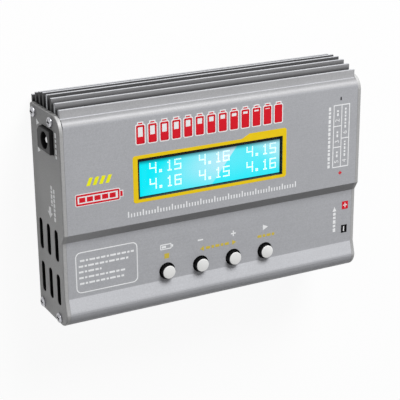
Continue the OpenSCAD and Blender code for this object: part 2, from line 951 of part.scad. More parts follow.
module socket_board() {
    y = from_lip(front_row_lip_y) - socket_board_margin;
    w = row_w(0) + 2 * socket_board_margin;
    h = row_zs[0] + socket_h / 2 + socket_board_margin - board_top;
    color("darkgreen")
    difference() {
        translate([socket_board_x, y, board_top]) cube([board_t, w, h]);
        all_pin_rows(pin_w + 2 * fit_gap, socket_board_x - over, board_t + 2 * over);
    }
}

module power_transistors() {
    color("dimgray")
    for (x = transistor_xs)
        translate([x - transistor_w / 2, from_lip(transistor_y), board_top])
            cube([transistor_w, transistor_t, transistor_h]);
}

// Holes for the clamp screws, along Y
module clamp_holes(y, length) {
    for (x = clamp_screw_xs)
        translate([x, from_lip(y) - over, board_top + clamp_z])
            rotate([-90, 0, 0]) cylinder(r = clamp_hole_r, h = length + 2 * over);
}

module insulating_pad() {
    color("lightgray")
    difference() {
        translate([window_x - transistor_run / 2, from_lip(pad_y), board_top])
            cube([transistor_run, pad_t, transistor_h]);
        clamp_holes(pad_y, pad_t);
    }
}

module transistor_clamp() {
    x = window_x - transistor_run / 2 - clamp_margin;
    color("silver")
    difference() {
        translate([x, from_lip(clamp_y), board_top + clamp_z - clamp_h / 2])
            cube([transistor_run + 2 * clamp_margin, clamp_t, clamp_h]);
        clamp_holes(clamp_y, clamp_t);
    }
}

module clamp_screws() {
    color("whitesmoke")
    for (x = clamp_screw_xs)
        translate([x, from_lip(clamp_y), board_top + clamp_z])
            rotate([90, 0, 0]) pan_screw(screw_r, clamp_screw_l, screw_head_r, screw_head_h);
}

module bulk_capacitors() {
    color("navy")
    for (i = [0 : capacitor_count - 1])
        translate([capacitor_x, from_lip(capacitor_fin_y - i * capacitor_pitch), board_top])
            cylinder(r = capacitor_r, h = capacitor_h);
}

module power_inductors() {
    color("darkslategray")
    for (y = inductor_ys)
        translate([inductor_x - inductor_w / 2, from_lip(y) - inductor_w / 2, board_top])
            cube([inductor_w, inductor_w, inductor_h]);
}

module controller_chip() {
    color("black")
    window_block(controller_w, controller_w, board_top, chip_h);
}

module driver_chips() {
    color("black")
    for (i = [0 : chip_count - 1])
        translate([window_x + (i - (chip_count - 1) / 2) * chip_pitch - chip_w / 2,
                from_lip(chip_y) - chip_l / 2, board_top])
            cube([chip_w, chip_l, chip_h]);
}

module buzzer() {
    color("black")
    translate([buzzer_x, from_lip(buzzer_y), board_top]) cylinder(r = buzzer_r, h = buzzer_h);
}

module fuse() {
    color("orange")
    translate([fuse_x - fuse_l / 2, from_lip(fuse_y) - fuse_w / 2, board_top]) cube([fuse_l, fuse_w, fuse_h]);
}

heat_sink_shell();
base_cover();
left_end_plate();
right_end_plate();
left_plate_screws();
right_plate_screws();
rubber_feet();
display_lens();
lcd_bezel();
lcd_glass();
lcd_backlight();
lcd_board();
lcd_spacers();
lcd_screws();
lcd_header();
lcd_header_pins();
main_board();
board_standoffs();
board_screws();
key_cap_1();
key_cap_2();
key_cap_3();
key_cap_4();
key_plunger_1();
key_plunger_2();
key_plunger_3();
key_plunger_4();
key_switches();
key_domes();
dc_jack_body();
dc_jack_pin();
positive_socket();
negative_socket();
positive_sleeve();
negative_sleeve();
output_nuts();
balance_socket_2();
balance_socket_3();
balance_socket_4();
balance_socket_5();
balance_socket_6();
balance_pins();
socket_board();
power_transistors();
insulating_pad();
transistor_clamp();
clamp_screws();
bulk_capacitors();
power_inductors();
controller_chip();
driver_chips();
buzzer();
fuse();
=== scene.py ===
"""Looks of a balance charger in a finned aluminium extrusion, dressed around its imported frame."""
import logging
import math
from dataclasses import dataclass
from enum import Enum, IntEnum
from functools import cache
from typing import Callable, Iterable, Sequence, Union

import bmesh
import bpy
from bmesh.types import BMEdge, BMesh, BMFace, BMVert
from mathutils import Matrix, Vector


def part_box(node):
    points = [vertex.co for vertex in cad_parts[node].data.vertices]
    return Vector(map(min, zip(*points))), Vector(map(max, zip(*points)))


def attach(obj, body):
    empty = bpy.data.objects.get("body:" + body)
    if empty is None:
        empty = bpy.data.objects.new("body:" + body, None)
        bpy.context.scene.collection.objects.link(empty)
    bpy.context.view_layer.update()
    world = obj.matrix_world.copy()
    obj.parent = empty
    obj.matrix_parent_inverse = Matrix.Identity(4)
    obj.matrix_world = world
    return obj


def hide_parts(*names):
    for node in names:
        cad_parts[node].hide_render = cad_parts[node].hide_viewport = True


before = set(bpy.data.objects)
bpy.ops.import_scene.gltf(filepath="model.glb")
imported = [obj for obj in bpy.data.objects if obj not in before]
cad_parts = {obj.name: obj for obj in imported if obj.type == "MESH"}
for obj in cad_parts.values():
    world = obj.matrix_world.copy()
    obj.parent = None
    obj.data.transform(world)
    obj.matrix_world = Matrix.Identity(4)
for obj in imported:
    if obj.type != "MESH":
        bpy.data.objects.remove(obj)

LOG = logging.getLogger("charger")
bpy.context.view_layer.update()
MM = 0.001
CASE = "case"
FULL = 255.0

Rgb = tuple[float, float, float]
Spot = tuple[float, float, float]
Point = tuple[float, float]
Box = tuple[float, float, float, float]
Shape = tuple[Point, ...]
Value = Union[float, "Wire"]
EdgeTest = Callable[[BMEdge], bool]

WHITE: Rgb = (FULL, FULL, FULL)


class Face(Enum):
    """Flat faces of the case that carry print."""

    RAISED = "raised"
    LOWER = "lower"
    LEFT_PLATE = "left plate"


class End(Enum):
    """Ends of the case."""

    LEFT = "left"
    RIGHT = "right"


class ShellSide(IntEnum):
    """Finishes of the extrusion's faces, by material index."""

    PLAIN = 0
    SHADED = 1
    # the ramp's lighter finish is a painted highlight
    RAMP = 2


class PlateSide(IntEnum):
    """Finishes of an end plate's faces, by material index."""

    PLAIN = 0
    OPENING = 1
    FRONT_EDGE = 2
    FIN_EDGE = 3


def linear(colour: Rgb) -> tuple[float, float, float, float]:
    """Scene-linear colour of a screen colour.

    Args:
        colour: Red, green and blue from 0 to 255, as a screen shows them.

    Returns:
        The four numbers that a colour socket takes.
    """
    knee, slope, lift, power = 0.04045, 12.92, 0.055, 2.4
    parts = [c / FULL for c in colour]
    return (*[c / slope if c <= knee else ((c + lift) / (1 + lift)) ** power for c in parts], 1.0)


def shade_of(colour: Rgb, factor: float) -> Rgb:
    """The colour made darker or lighter by a factor."""
    return tuple(min(FULL, c * factor) for c in colour)


class Wire:
    """A shader socket whose arithmetic adds Math nodes to its graph."""

    def __init__(self, graph: "Graph", socket: bpy.types.NodeSocket) -> None:
        """Keeps the socket and the graph it is in."""
        self.graph = graph
        self.socket = socket

    def _math(self, operation: str, first: Value, second: Value) -> "Wire":
        """A Math node on two values."""
        return self.graph.node("ShaderNodeMath", {"operation": operation}, {0: first, 1: second})[0]

    def __add__(self, other: Value) -> "Wire":
        """Sum of two values."""
        return self._math("ADD", self, other)

    __radd__ = __add__

    def __mul__(self, other: Value) -> "Wire":
        """Product of two values."""
        return self._math("MULTIPLY", self, other)

    __rmul__ = __mul__

    def __sub__(self, other: Value) -> "Wire":
        """This value less another."""
        return self._math("SUBTRACT", self, other)

    def __rsub__(self, other: Value) -> "Wire":
        """Another value less this one."""
        return self._math("SUBTRACT", other, self)

    def __gt__(self, other: Value) -> "Wire":
        """One where this value is larger, and nought elsewhere."""
        return self._math("GREATER_THAN", self, other)

    def __lt__(self, other: Value) -> "Wire":
        """One where this value is smaller, and nought elsewhere."""
        return self._math("LESS_THAN", self, other)

    def wave(self) -> "Wire":
        """Sine of this value."""
        return self._math("SINE", self, 0.0)


class Graph:
    """A node tree that is filled through one node-making method. Its constants are socket numbers."""

    OBJECT = 3
    MIX_FACTOR, MIX_FIRST, MIX_SECOND = 0, 6, 7
    MIX_COLOUR = 2

    def __init__(self, owner: Union[bpy.types.Material, bpy.types.World]) -> None:
        """Empties the owner's node tree.

        Args:
            owner: Material or world that the tree belongs to.
        """
        owner.use_nodes = True
        self.owner = owner
        self.tree = owner.node_tree
        self.tree.nodes.clear()

    def node(self, kind: str, settings: dict | None = None, sockets: dict | None = None) -> list[Wire]:
        """Adds a node.

        Args:
            kind: Blender's name of the node's type.
            settings: The node's own settings, with a ramp's stops under "stops".
            sockets: Values or wires by socket name or index.

        Returns:
            A wire for each output of the node.
        """
        made = self.tree.nodes.new(kind)
        for key, value in (settings or {}).items():
            if key == "stops":
                ramp = made.color_ramp.elements
                while len(ramp) < len(value):
                    ramp.new(1.0)
                for stop, (place, colour) in zip(ramp, value):
                    stop.position = place
                    stop.color = colour
            else:
                setattr(made, key, value)
        for key, value in (sockets or {}).items():
            if isinstance(value, Wire):
                self.tree.links.new(value.socket, made.inputs[key])
            else:
                made.inputs[key].default_value = value
        return [Wire(self, socket) for socket in made.outputs]

    def place(self, stretch: Spot = (1, 1, 1)) -> Wire:
        """Object coordinates in metres, stretched by a factor along each axis."""
        spot = self.node("ShaderNodeTexCoord")[self.OBJECT]
        return self.node("ShaderNodeMapping", None, {"Vector": spot, "Scale": stretch})[0]

    def axes(self) -> list[Wire]:
        """The X, Y and Z of the object coordinates, in metres."""
        return self.node("ShaderNodeSeparateXYZ", None, {0: self.place()})

    def noise(self, size_mm: float, detail: float = 2.0, stretch: Spot = (1, 1, 1)) -> Wire:
        """Soft noise from 0 to 1.

        Args:
            size_mm: Size of its spots.
            detail: Number of finer layers.
            stretch: Factor along each axis, under 1 for longer spots.

        Returns:
            The wire of the noise.
        """
        return self.node("ShaderNodeTexNoise", None, {
            "Vector": self.place(stretch), "Scale": 1 / (size_mm * MM), "Detail": detail})[0]

    def blend(self, factor: Value, first: Union[Rgb, Wire], second: Union[Rgb, Wire]) -> Wire:
        """A colour between two others.

        Args:
            factor: Nought for the first colour and one for the second.
            first: Screen colour or wire.
            second: Screen colour or wire.

        Returns:
            The wire of the mixed colour.
        """
        ends = [c if isinstance(c, Wire) else linear(c) for c in (first, second)]
        return self.node("ShaderNodeMix", {"data_type": "RGBA"}, {
            self.MIX_FACTOR: factor, self.MIX_FIRST: ends[0], self.MIX_SECOND: ends[1]})[self.MIX_COLOUR]

    def ramp(self, value: Wire, ends_mm: Point, low: float = 0.0, high: float = 1.0) -> Wire:
        """Smooth rise of a length between two places.

        Args:
            value: The length in metres.
            ends_mm: Where the rise starts and ends.
            low: Value before the rise.
            high: Value after it.

        Returns:
            The wire of the rise.
        """
        sockets = dict(enumerate((value, ends_mm[0] * MM, ends_mm[1] * MM, low, high)))
        return self.node("ShaderNodeMapRange", {"interpolation_type": "SMOOTHSTEP"}, sockets)[0]

    def bump(self, height: Wire, depth_mm: float) -> Wire:
        """Normals of a rough surface.

        Args:
            height: Wire from 0 to 1.
            depth_mm: Depth of the roughness.

        Returns:
            The wire of the normals.
        """
        return self.node("ShaderNodeBump", None, {"Height": height, "Distance": depth_mm * MM})[0]

    def principled(self, sockets: dict) -> None:
        """Ends the tree in one Principled surface with the given sockets."""
        self.output(self.node("ShaderNodeBsdfPrincipled", None, sockets)[0])

    def mixed(self, factor: Value, first: Wire, second: Wire) -> None:
        """Ends the tree in a surface between two others."""
        self.output(self.node("ShaderNodeMixShader", None, dict(enumerate((factor, first, second))))[0])

    def output(self, surface: Wire) -> None:
        """Ends the tree in the given surface."""
        kind = "World" if isinstance(self.owner, bpy.types.World) else "Material"
        self.node(f"ShaderNodeOutput{kind}", None, {"Surface": surface})

    def shown(self) -> Wire:
        """Which rays show the backdrop: to the camera, in gloss and through clear pieces.

        Returns:
            The wire that is one for them and nought for the others.
        """
        path = self.node("ShaderNodeLightPath")
        rays = {wire.socket.name: wire for wire in path}
        return rays["Is Camera Ray"] + rays["Is Glossy Ray"] + rays["Is Transmission Ray"]


@dataclass(frozen=True)
class Finish:
    """A named surface finish with its main colour."""

    name: str
    colour: Rgb

    @cache
    def material(self) -> bpy.types.Material:
        """The finish's material, made at its first use.

        Returns:
            The material.
        """
        made = bpy.data.materials.new(self.name)
        self.shade(Graph(made))
        return made

    def shade(self, graph: Graph) -> None:
        """Fills the material's node tree."""
        raise NotImplementedError

    def shades(self, factors: Point) -> tuple[Rgb, Rgb]:
        """The finish's colour in two shades."""
        return shade_of(self.colour, factors[0]), shade_of(self.colour, factors[1])


@dataclass(frozen=True)
class Anodised(Finish):
    """Bead-blasted anodised aluminium with faint lines along the extrusion. Sizes in millimetres."""

    roughness: float = 0.48
    metallic: float = 0.06
    gloss: float = 0.18
    grain: float = 0.14
    line: float = 0.5
    line_stretch: Spot = (0.012, 1, 1)
    cloud: float = 14.0
    speck: float = 0.45
    detail: float = 3.0
    speck_detail: float = 1.0
    tone_shares: Spot = (0.2, 0.2, 0.6)
    tone_range: Point = (0.88, 1.12)
    rough_shares: Point = (0.14, 0.08)
    bump_shares: Point = (0.7, 0.3)
    bump_depth: float = 0.12

    def shade(self, graph: Graph) -> None:
        """Fine grain, drawn lines along X and slow clouds of tone.

        Args:
            graph: The material's node tree.
        """
        grain = graph.noise(self.grain)
        lines = graph.noise(self.line, self.detail, self.line_stretch)
        cloud = graph.noise(self.cloud, self.detail)
        speck = graph.noise(self.speck, self.speck_detail)
        tone = cloud * self.tone_shares[0] + lines * self.tone_shares[1] + speck * self.tone_shares[2]
        uneven = grain * self.rough_shares[0] + lines * self.rough_shares[1]
        height = grain * self.bump_shares[0] + lines * self.bump_shares[1]
        graph.principled({
            "Base Color": self.tint(graph, graph.blend(tone, *self.shades(self.tone_range))),
            "Metallic": self.metallic,
            "Specular IOR Level": self.gloss,
            "Roughness": uneven + (self.roughness - sum(self.rough_shares) / 2),
            "Normal": graph.bump(height, self.grain * self.bump_depth),
        })

    def tint(self, graph: Graph, colour: Wire) -> Wire:
        """Leaves the colour as it is."""
        return colour


@dataclass(frozen=True)
class PlateMetal(Anodised):
    """An end plate's metal with painted shade that darkens it towards the fins. Sizes in millimetres."""

    painted_shade_tone: Rgb = (34, 34, 35)
    painted_shade_y: Point = (2.0, 44.0)
    painted_shade_share: float = 0.4

    def tint(self, graph: Graph, colour: Wire) -> Wire:
        """Blends slowly into a dark tone along Y, as painted shade."""
        _, y, _ = graph.axes()
        return graph.blend(graph.ramp(y, self.painted_shade_y, 0.0, self.painted_shade_share), colour, self.painted_shade_tone)


@dataclass(frozen=True)
class ShadedMetal(Anodised):
    """The extrusion's metal with painted shade where less light falls, as between the fins, and darker on the
    sawn fin ends. Sizes in millimetres.
    """

    painted_shade_tone: Rgb = (34, 34, 35)
    crown: Point = (45.06, 15.75)
    crown_r: float = 30.0
    gap_depth: Point = (0.2, 2.6)
    gap_share: Point = (0.35, 0.95)
    fin_y: float = 38.0
    step_y: float = 0.0
    step_x: Point = (-62.0, -34.0)
    step_share: float = 0.28
    end_x: float = 64.7
    sawn_share: float = 0.86
    wall_share: float = 0.95
    wall_y: float = 25.0
    root_y: Point = (36.9, 38.2)
    root_share: float = 0.38
    front_z: float = 29.95
    front_y: float = 38.45
    front_share: float = 0.08
    rear_z: Point = (17.0, 25.0)
    rear_share: float = 0.75

    def tint(self, graph: Graph, colour: Wire) -> Wire:
        """Blends into a dark tone of painted shade, more so further below the fin tips.

        Args:
            graph: The material's node tree.
            colour: The metal's colour in full light.

        Returns:
            The wire of the shaded colour.
        """
        x, y, z = graph.axes()
        rise = z - self.crown[1] * MM
        depth = self.crown[0] * MM - rise * rise * (1 / (2 * self.crown_r * MM)) - y
        rear = graph.ramp(z, self.rear_z, self.rear_share, 0.0)
        gap = graph.ramp(depth, self.gap_depth, *self.gap_share)
        gap = gap + (1 - gap) * rear
        fins = y > self.fin_y * MM
        sawn = ((x > self.end_x * MM) + (x < -self.end_x * MM)) * fins
        step = (y < self.step_y * MM) * graph.ramp(x, self.step_x, 0.0, self.step_share)
        walls = (y < self.wall_y * MM) * (y > self.step_y * MM) * self.wall_share
        inside = fins * (z < self.front_z * MM)
        front = (y > self.front_y * MM) * (1 - inside)
        root = graph.ramp(y, self.root_y, 0.0, self.root_share) * (1 - inside) * (1 - front)
        bands = inside * gap + root + front * self.front_share
        # painted shade in the gaps, deeper at the rear fins, at the fin root, on the front fin, the step and
        # the window walls; a darker tone on the sawn ends
        share = bands * (1 - sawn) + sawn * self.sawn_share + step + walls
        return graph.blend(share, colour, self.painted_shade_tone)


@dataclass(frozen=True)
class Plastic(Finish):
    """Moulded plastic with a fine eroded texture. Sizes in millimetres."""

    roughness: float = 0.4
    grain: float = 0.2
    depth: float = 0.012
    gloss: float = 0.4
    detail: float = 3.0
    cloud_ratio: float = 40.0
    tone_shares: Point = (0.7, 0.3)
    tone_range: Point = (0.92, 1.08)
    rough_share: float = 0.16

    def shade(self, graph: Graph) -> None:
        """Fine bumps, slow change of tone and uneven gloss.

        Args:
            graph: The material's node tree.
        """
        grain = graph.noise(self.grain, self.detail)
        cloud = graph.noise(self.grain * self.cloud_ratio)
        tone = cloud * self.tone_shares[0] + grain * self.tone_shares[1]
        graph.principled({
            "Base Color": graph.blend(tone, *self.shades(self.tone_range)),
            "Roughness": cloud * self.rough_share + (self.roughness - self.rough_share / 2),
            "Specular IOR Level": self.gloss,
            "Normal": graph.bump(grain, self.depth),
        })


@dataclass(frozen=True)
class Plated(Finish):
    """Plated or bare bright metal with fine scratches. Sizes in millimetres."""

    roughness: float = 0.22
    metallic: float = 1.0
    scratch: float = 0.3
    scratch_detail: float = 4.0
    scratch_stretch: Spot = (1, 0.06, 1)
    scratch_depth: float = 0.004
    stain_and_glint: float = 2.4
    stain_and_glint_detail: float = 3.0
    stain_and_glint_range: Point = (0.86, 1.06)
    rough_shares: Point = (0.16, 0.1)
    rough_drop: float = 0.1

    def shade(self, graph: Graph) -> None:
        """Thin scratches, stains that also paint glints where their range is wide, and a bright metal base.

        Args:
            graph: The material's node tree.
        """
        scratch = graph.noise(self.scratch, self.scratch_detail, self.scratch_stretch)
        stain_and_glint = graph.noise(self.stain_and_glint, self.stain_and_glint_detail)
        uneven = scratch * self.rough_shares[0] + stain_and_glint * self.rough_shares[1]
        graph.principled({
            "Base Color": graph.blend(stain_and_glint, *self.shades(self.stain_and_glint_range)),
            "Metallic": self.metallic,
            "Roughness": uneven + (self.roughness - self.rough_drop),
            "Normal": graph.bump(scratch, self.scratch_depth),
        })


@dataclass(frozen=True)
class Ink(Finish):
    """Screen-printed ink with the weave of its screen. Sizes in millimetres."""

    weave: float = 0.18
    gloss: float = 0.2
    density: float = 3.0
    density_detail: float = 3.0
    tone_shares: Point = (0.7, 0.3)
    tone_range: Point = (0.95, 1.05)
    roughness: float = 0.4
    rough_share: float = 0.2
    depth: float = 0.004

    def shade(self, graph: Graph) -> None:
        """Crossed fine waves for the screen and slow change in the ink's density.

        Args:
            graph: The material's node tree.
        """
        x, y, z = graph.axes()
        rate = 2 * math.pi / (self.weave * MM)
        weave = ((x + z) * rate).wave() * ((y + z) * rate).wave() * 0.5 + 0.5
        density = graph.noise(self.density, self.density_detail)
        tone = density * self.tone_shares[0] + weave * self.tone_shares[1]
        graph.principled({
            "Base Color": graph.blend(tone, *self.shades(self.tone_range)),
            "Roughness": density * self.rough_share + self.roughness,
            "Specular IOR Level": self.gloss,
            "Normal": graph.bump(weave, self.depth),
        })


@dataclass(frozen=True)
class LitPanel(Finish):
    """Back-lit panel with a painted reflection, a slanting sheen and a pale right end, and a painted shadow
    along its top edge. Sizes in millimetres.
    """

    pale: Rgb = (226, 240, 250)
    dark: Rgb = (0, 66, 84)
    sheen_spot: Point = (4.0, 10.5)
    sheen_slope: float = 0.8
    sheen_run: float = 32.0
    sheen_y: Point = (-2.0, 14.0)
    sheen_stops: tuple[Point, ...] = ((0.0, 8), (0.25, 112), (0.985, 232), (1.0, 110))
    end_slope: float = 1.3
    end_run: Point = (33.0, 47.0)
    end_share: float = 0.48
    shade_y: Point = (15.6, 18.0)
    shade_share: float = 0.9
    cell_w: float = 3.58
    cell_share: float = 0.004
    roughness: float = 0.3
    gloss: float = 0.02
    strength: float = 0.95

    def shade(self, graph: Graph) -> None:
        """Cyan light with a painted reflection that pales up to a sharp slanting edge, with faint character
        cells and a painted shadow at the top.

        Args:
            graph: The material's node tree.
        """
        x, y, _ = graph.axes()
        slant = (x - self.sheen_spot[0] * MM) - (y - self.sheen_spot[1] * MM) * self.sheen_slope
        share = slant * (1 / (self.sheen_run * MM)) + 1.0
        stops = [(place, linear((level, level, level))) for place, level in self.sheen_stops]
        painted_sheen = graph.node("ShaderNodeValToRGB", {"stops": stops}, {0: share})[0]
        end = graph.ramp(x + y * self.end_slope, self.end_run)
        cells = (x * (2 * math.pi / (self.cell_w * MM))).wave() * self.cell_share + self.cell_share
        # painted reflection: the pale right end here and the slanting sheen on the next line
        body = graph.blend(end * self.end_share + cells, self.colour, self.pale)
        glow = graph.blend(painted_sheen * graph.ramp(y, self.sheen_y), body, self.pale)
        # painted shadow along the panel's top edge
        glow = graph.blend(graph.ramp(y, self.shade_y, 0.0, self.shade_share), glow, self.dark)
        graph.principled({
            "Base Color": linear(self.dark),
            "Roughness": self.roughness,
            "Specular IOR Level": self.gloss,
            "Emission Color": glow,
            "Emission Strength": self.strength,
        })


@dataclass(frozen=True)
class LitDot(Finish):
    """Clear display dots with the back light behind them. Sizes in millimetres."""

    uneven: float = 4.0
    glow_range: Point = (0.95, 1.0)
    roughness: float = 0.4
    strength: float = 0.9

    def shade(self, graph: Graph) -> None:
        """A nearly even pale light.

        Args:
            graph: The material's node tree.
        """
        graph.principled({
            "Base Color": linear(self.colour),
            "Roughness": self.roughness,
            "Emission Color": graph.blend(graph.noise(self.uneven), *self.shades(self.glow_range)),
            "Emission Strength": self.strength,
        })


@dataclass(frozen=True)
class ClearPane(Finish):
    """Clear acrylic with faint wiping marks. Sizes in millimetres."""

    alpha: float = 0.018
    gloss: float = 0.12
    wipe: float = 1.6
    wipe_detail: float = 4.0
    wipe_stretch: Spot = (0.2, 1, 1)
    wipe_share: float = 0.12
    roughness: float = 0.03

    def shade(self, graph: Graph) -> None:
        """Mostly see-through, with gloss that wiping marks break.

        Args:
            graph: The material's node tree.
        """
        wipe = graph.noise(self.wipe, self.wipe_detail, self.wipe_stretch)
        graph.principled({
            "Base Color": linear(self.colour),
            "Roughness": wipe * self.wipe_share + self.roughness,
            "Alpha": self.alpha,
            "Specular IOR Level": self.gloss,
        })


@dataclass(frozen=True)
class Board(Finish):
    """Circuit board with copper tracks under solder resist. Sizes in millimetres."""

    track: float = 1.6
    track_level: float = 0.7
    track_share: float = 0.55
    track_light: float = 1.9
    bend: float = 9.0
    bend_turn: float = 14.0
    fibre: float = 0.4
    ground_range: Point = (0.85, 1.0)
    roughness: float = 0.3
    rough_share: float = 0.2
    bump_shares: Point = (0.8, 0.2)
    depth: float = 0.03

    def shade(self, graph: Graph) -> None:
        """Square-edged tracks from crossed waves, lighter than the ground between them.

        Args:
            graph: The material's node tree.
        """
        x, y, z = graph.axes()
        rate = 2 * math.pi / (self.track * MM)
        bend = graph.noise(self.bend) * self.bend_turn
        tracks = (((x + z) * rate + bend).wave() + (y * rate + bend).wave()) > self.track_level
        fibre = graph.noise(self.fibre)
        ground = graph.blend(fibre, *self.shades(self.ground_range))
        copper = shade_of(self.colour, self.track_light)
        graph.principled({
            "Base Color": graph.blend(tracks * self.track_share, ground, copper),
            "Roughness": fibre * self.rough_share + self.roughness,
            "Normal": graph.bump(tracks * self.bump_shares[0] + fibre * self.bump_shares[1], self.depth),
        })


class Finishes:
    """The finishes of the charger's pieces."""

    SHELL = Anodised("satin_shell", (170, 171, 175))
    SHADED = ShadedMetal("shaded_shell", (171, 171, 173), gloss=0.08)
    # a lighter copy of the shell's metal, as a painted highlight on the lip's ramp
    LIP_HIGHLIGHT = Anodised("lip_painted_highlight", (184, 185, 189))
    PLATE = PlateMetal("satin_plate", (160, 160, 160), roughness=0.5, grain=0.18, line=0.9)
    # a lighter copy of the plate's metal, as a painted highlight on the plate's front edge
    EDGE_HIGHLIGHT = Anodised("front_edge_highlight", (168, 168, 168), roughness=0.46, metallic=0.1, grain=0.18, line=0.9)
    FIN_EDGE = Anodised("shaded_edge", (112, 112, 112), roughness=0.5, grain=0.18, line=0.9)
    BASE = Anodised("mill_base", (150, 150, 154), roughness=0.38, metallic=0.3, grain=0.1, line=0.3)
    # the screws' wide stain range paints light and dark reflection patches on the heads
    SCREW = Plated("zinc_screw", (132, 132, 135), roughness=0.24, stain_and_glint=0.9, stain_and_glint_range=(0.2, 1.8))
    # a dark copy of the screw metal, as painted shade in the cross recesses
    RECESS = Plated("screw_recess_shade", (58, 58, 60), roughness=0.5)
    CHROME = Plated("tinned_contact", (214, 214, 218), roughness=0.16)
    # a lighter, rougher copy of the contact metal, as a painted highlight on the pin inside the barrel
    PIN = Plated("pin_painted_highlight", (246, 246, 248), roughness=0.4)
    STEEL = Plated("rolled_steel", (178, 178, 184), roughness=0.32)
    GOLD = Plated("gold_contact", (224, 178, 92), roughness=0.24)
    BRASS = Plated("plain_brass", (196, 158, 84), roughness=0.3)
    RUBBER = Plastic("matt_rubber", (28, 28, 28), roughness=0.72, grain=0.3, depth=0.03)
    BLACK = Plastic("moulded_black", (22, 22, 23), roughness=0.44, gloss=0.18)
    BEZEL = Plastic("satin_black", (14, 14, 15), roughness=0.42, gloss=0.15)
    KEY = Plastic("white_key", (232, 232, 231), roughness=0.36)
    PLUNGER = Plastic("grey_plunger", (72, 72, 74), roughness=0.5)
    RED = Plastic("moulded_red", (206, 28, 32), roughness=0.34)
    NYLON = Plastic("natural_nylon", (234, 229, 214), roughness=0.42)
    SILICONE = Plastic("silicone_pad", (182, 182, 182), roughness=0.66)
    SLEEVE = Plastic("shrunk_sleeve", (32, 40, 92), roughness=0.28)
    FERRITE = Plastic("moulded_ferrite", (52, 54, 58), roughness=0.6, grain=0.4, depth=0.04)
    ORANGE = Plastic("moulded_orange", (236, 124, 24), roughness=0.34)
    GUIDE = Plastic("white_guide", (236, 244, 250), roughness=0.3)
    BOARD = Board("solder_resist", (24, 98, 54))
    PANE = ClearPane("clear_pane", (80, 140, 150))
    PANEL = LitPanel("lit_panel", (0, 238, 250))
    DOT = LitDot("lit_dot", (222, 248, 255))
    WHITE_INK = Ink("white_ink", (238, 239, 240))
    RED_INK = Ink("red_ink", (214, 24, 40))
    YELLOW_INK = Ink("yellow_ink", (239, 205, 30), gloss=0.1)
    LEMON_INK = Ink("lemon_ink", (246, 242, 36), gloss=0.1)
    GOLD_INK = Ink("dull_yellow_ink", (206, 184, 72))
    BLACK_INK = Ink("black_ink", (11, 11, 12), gloss=0.03)


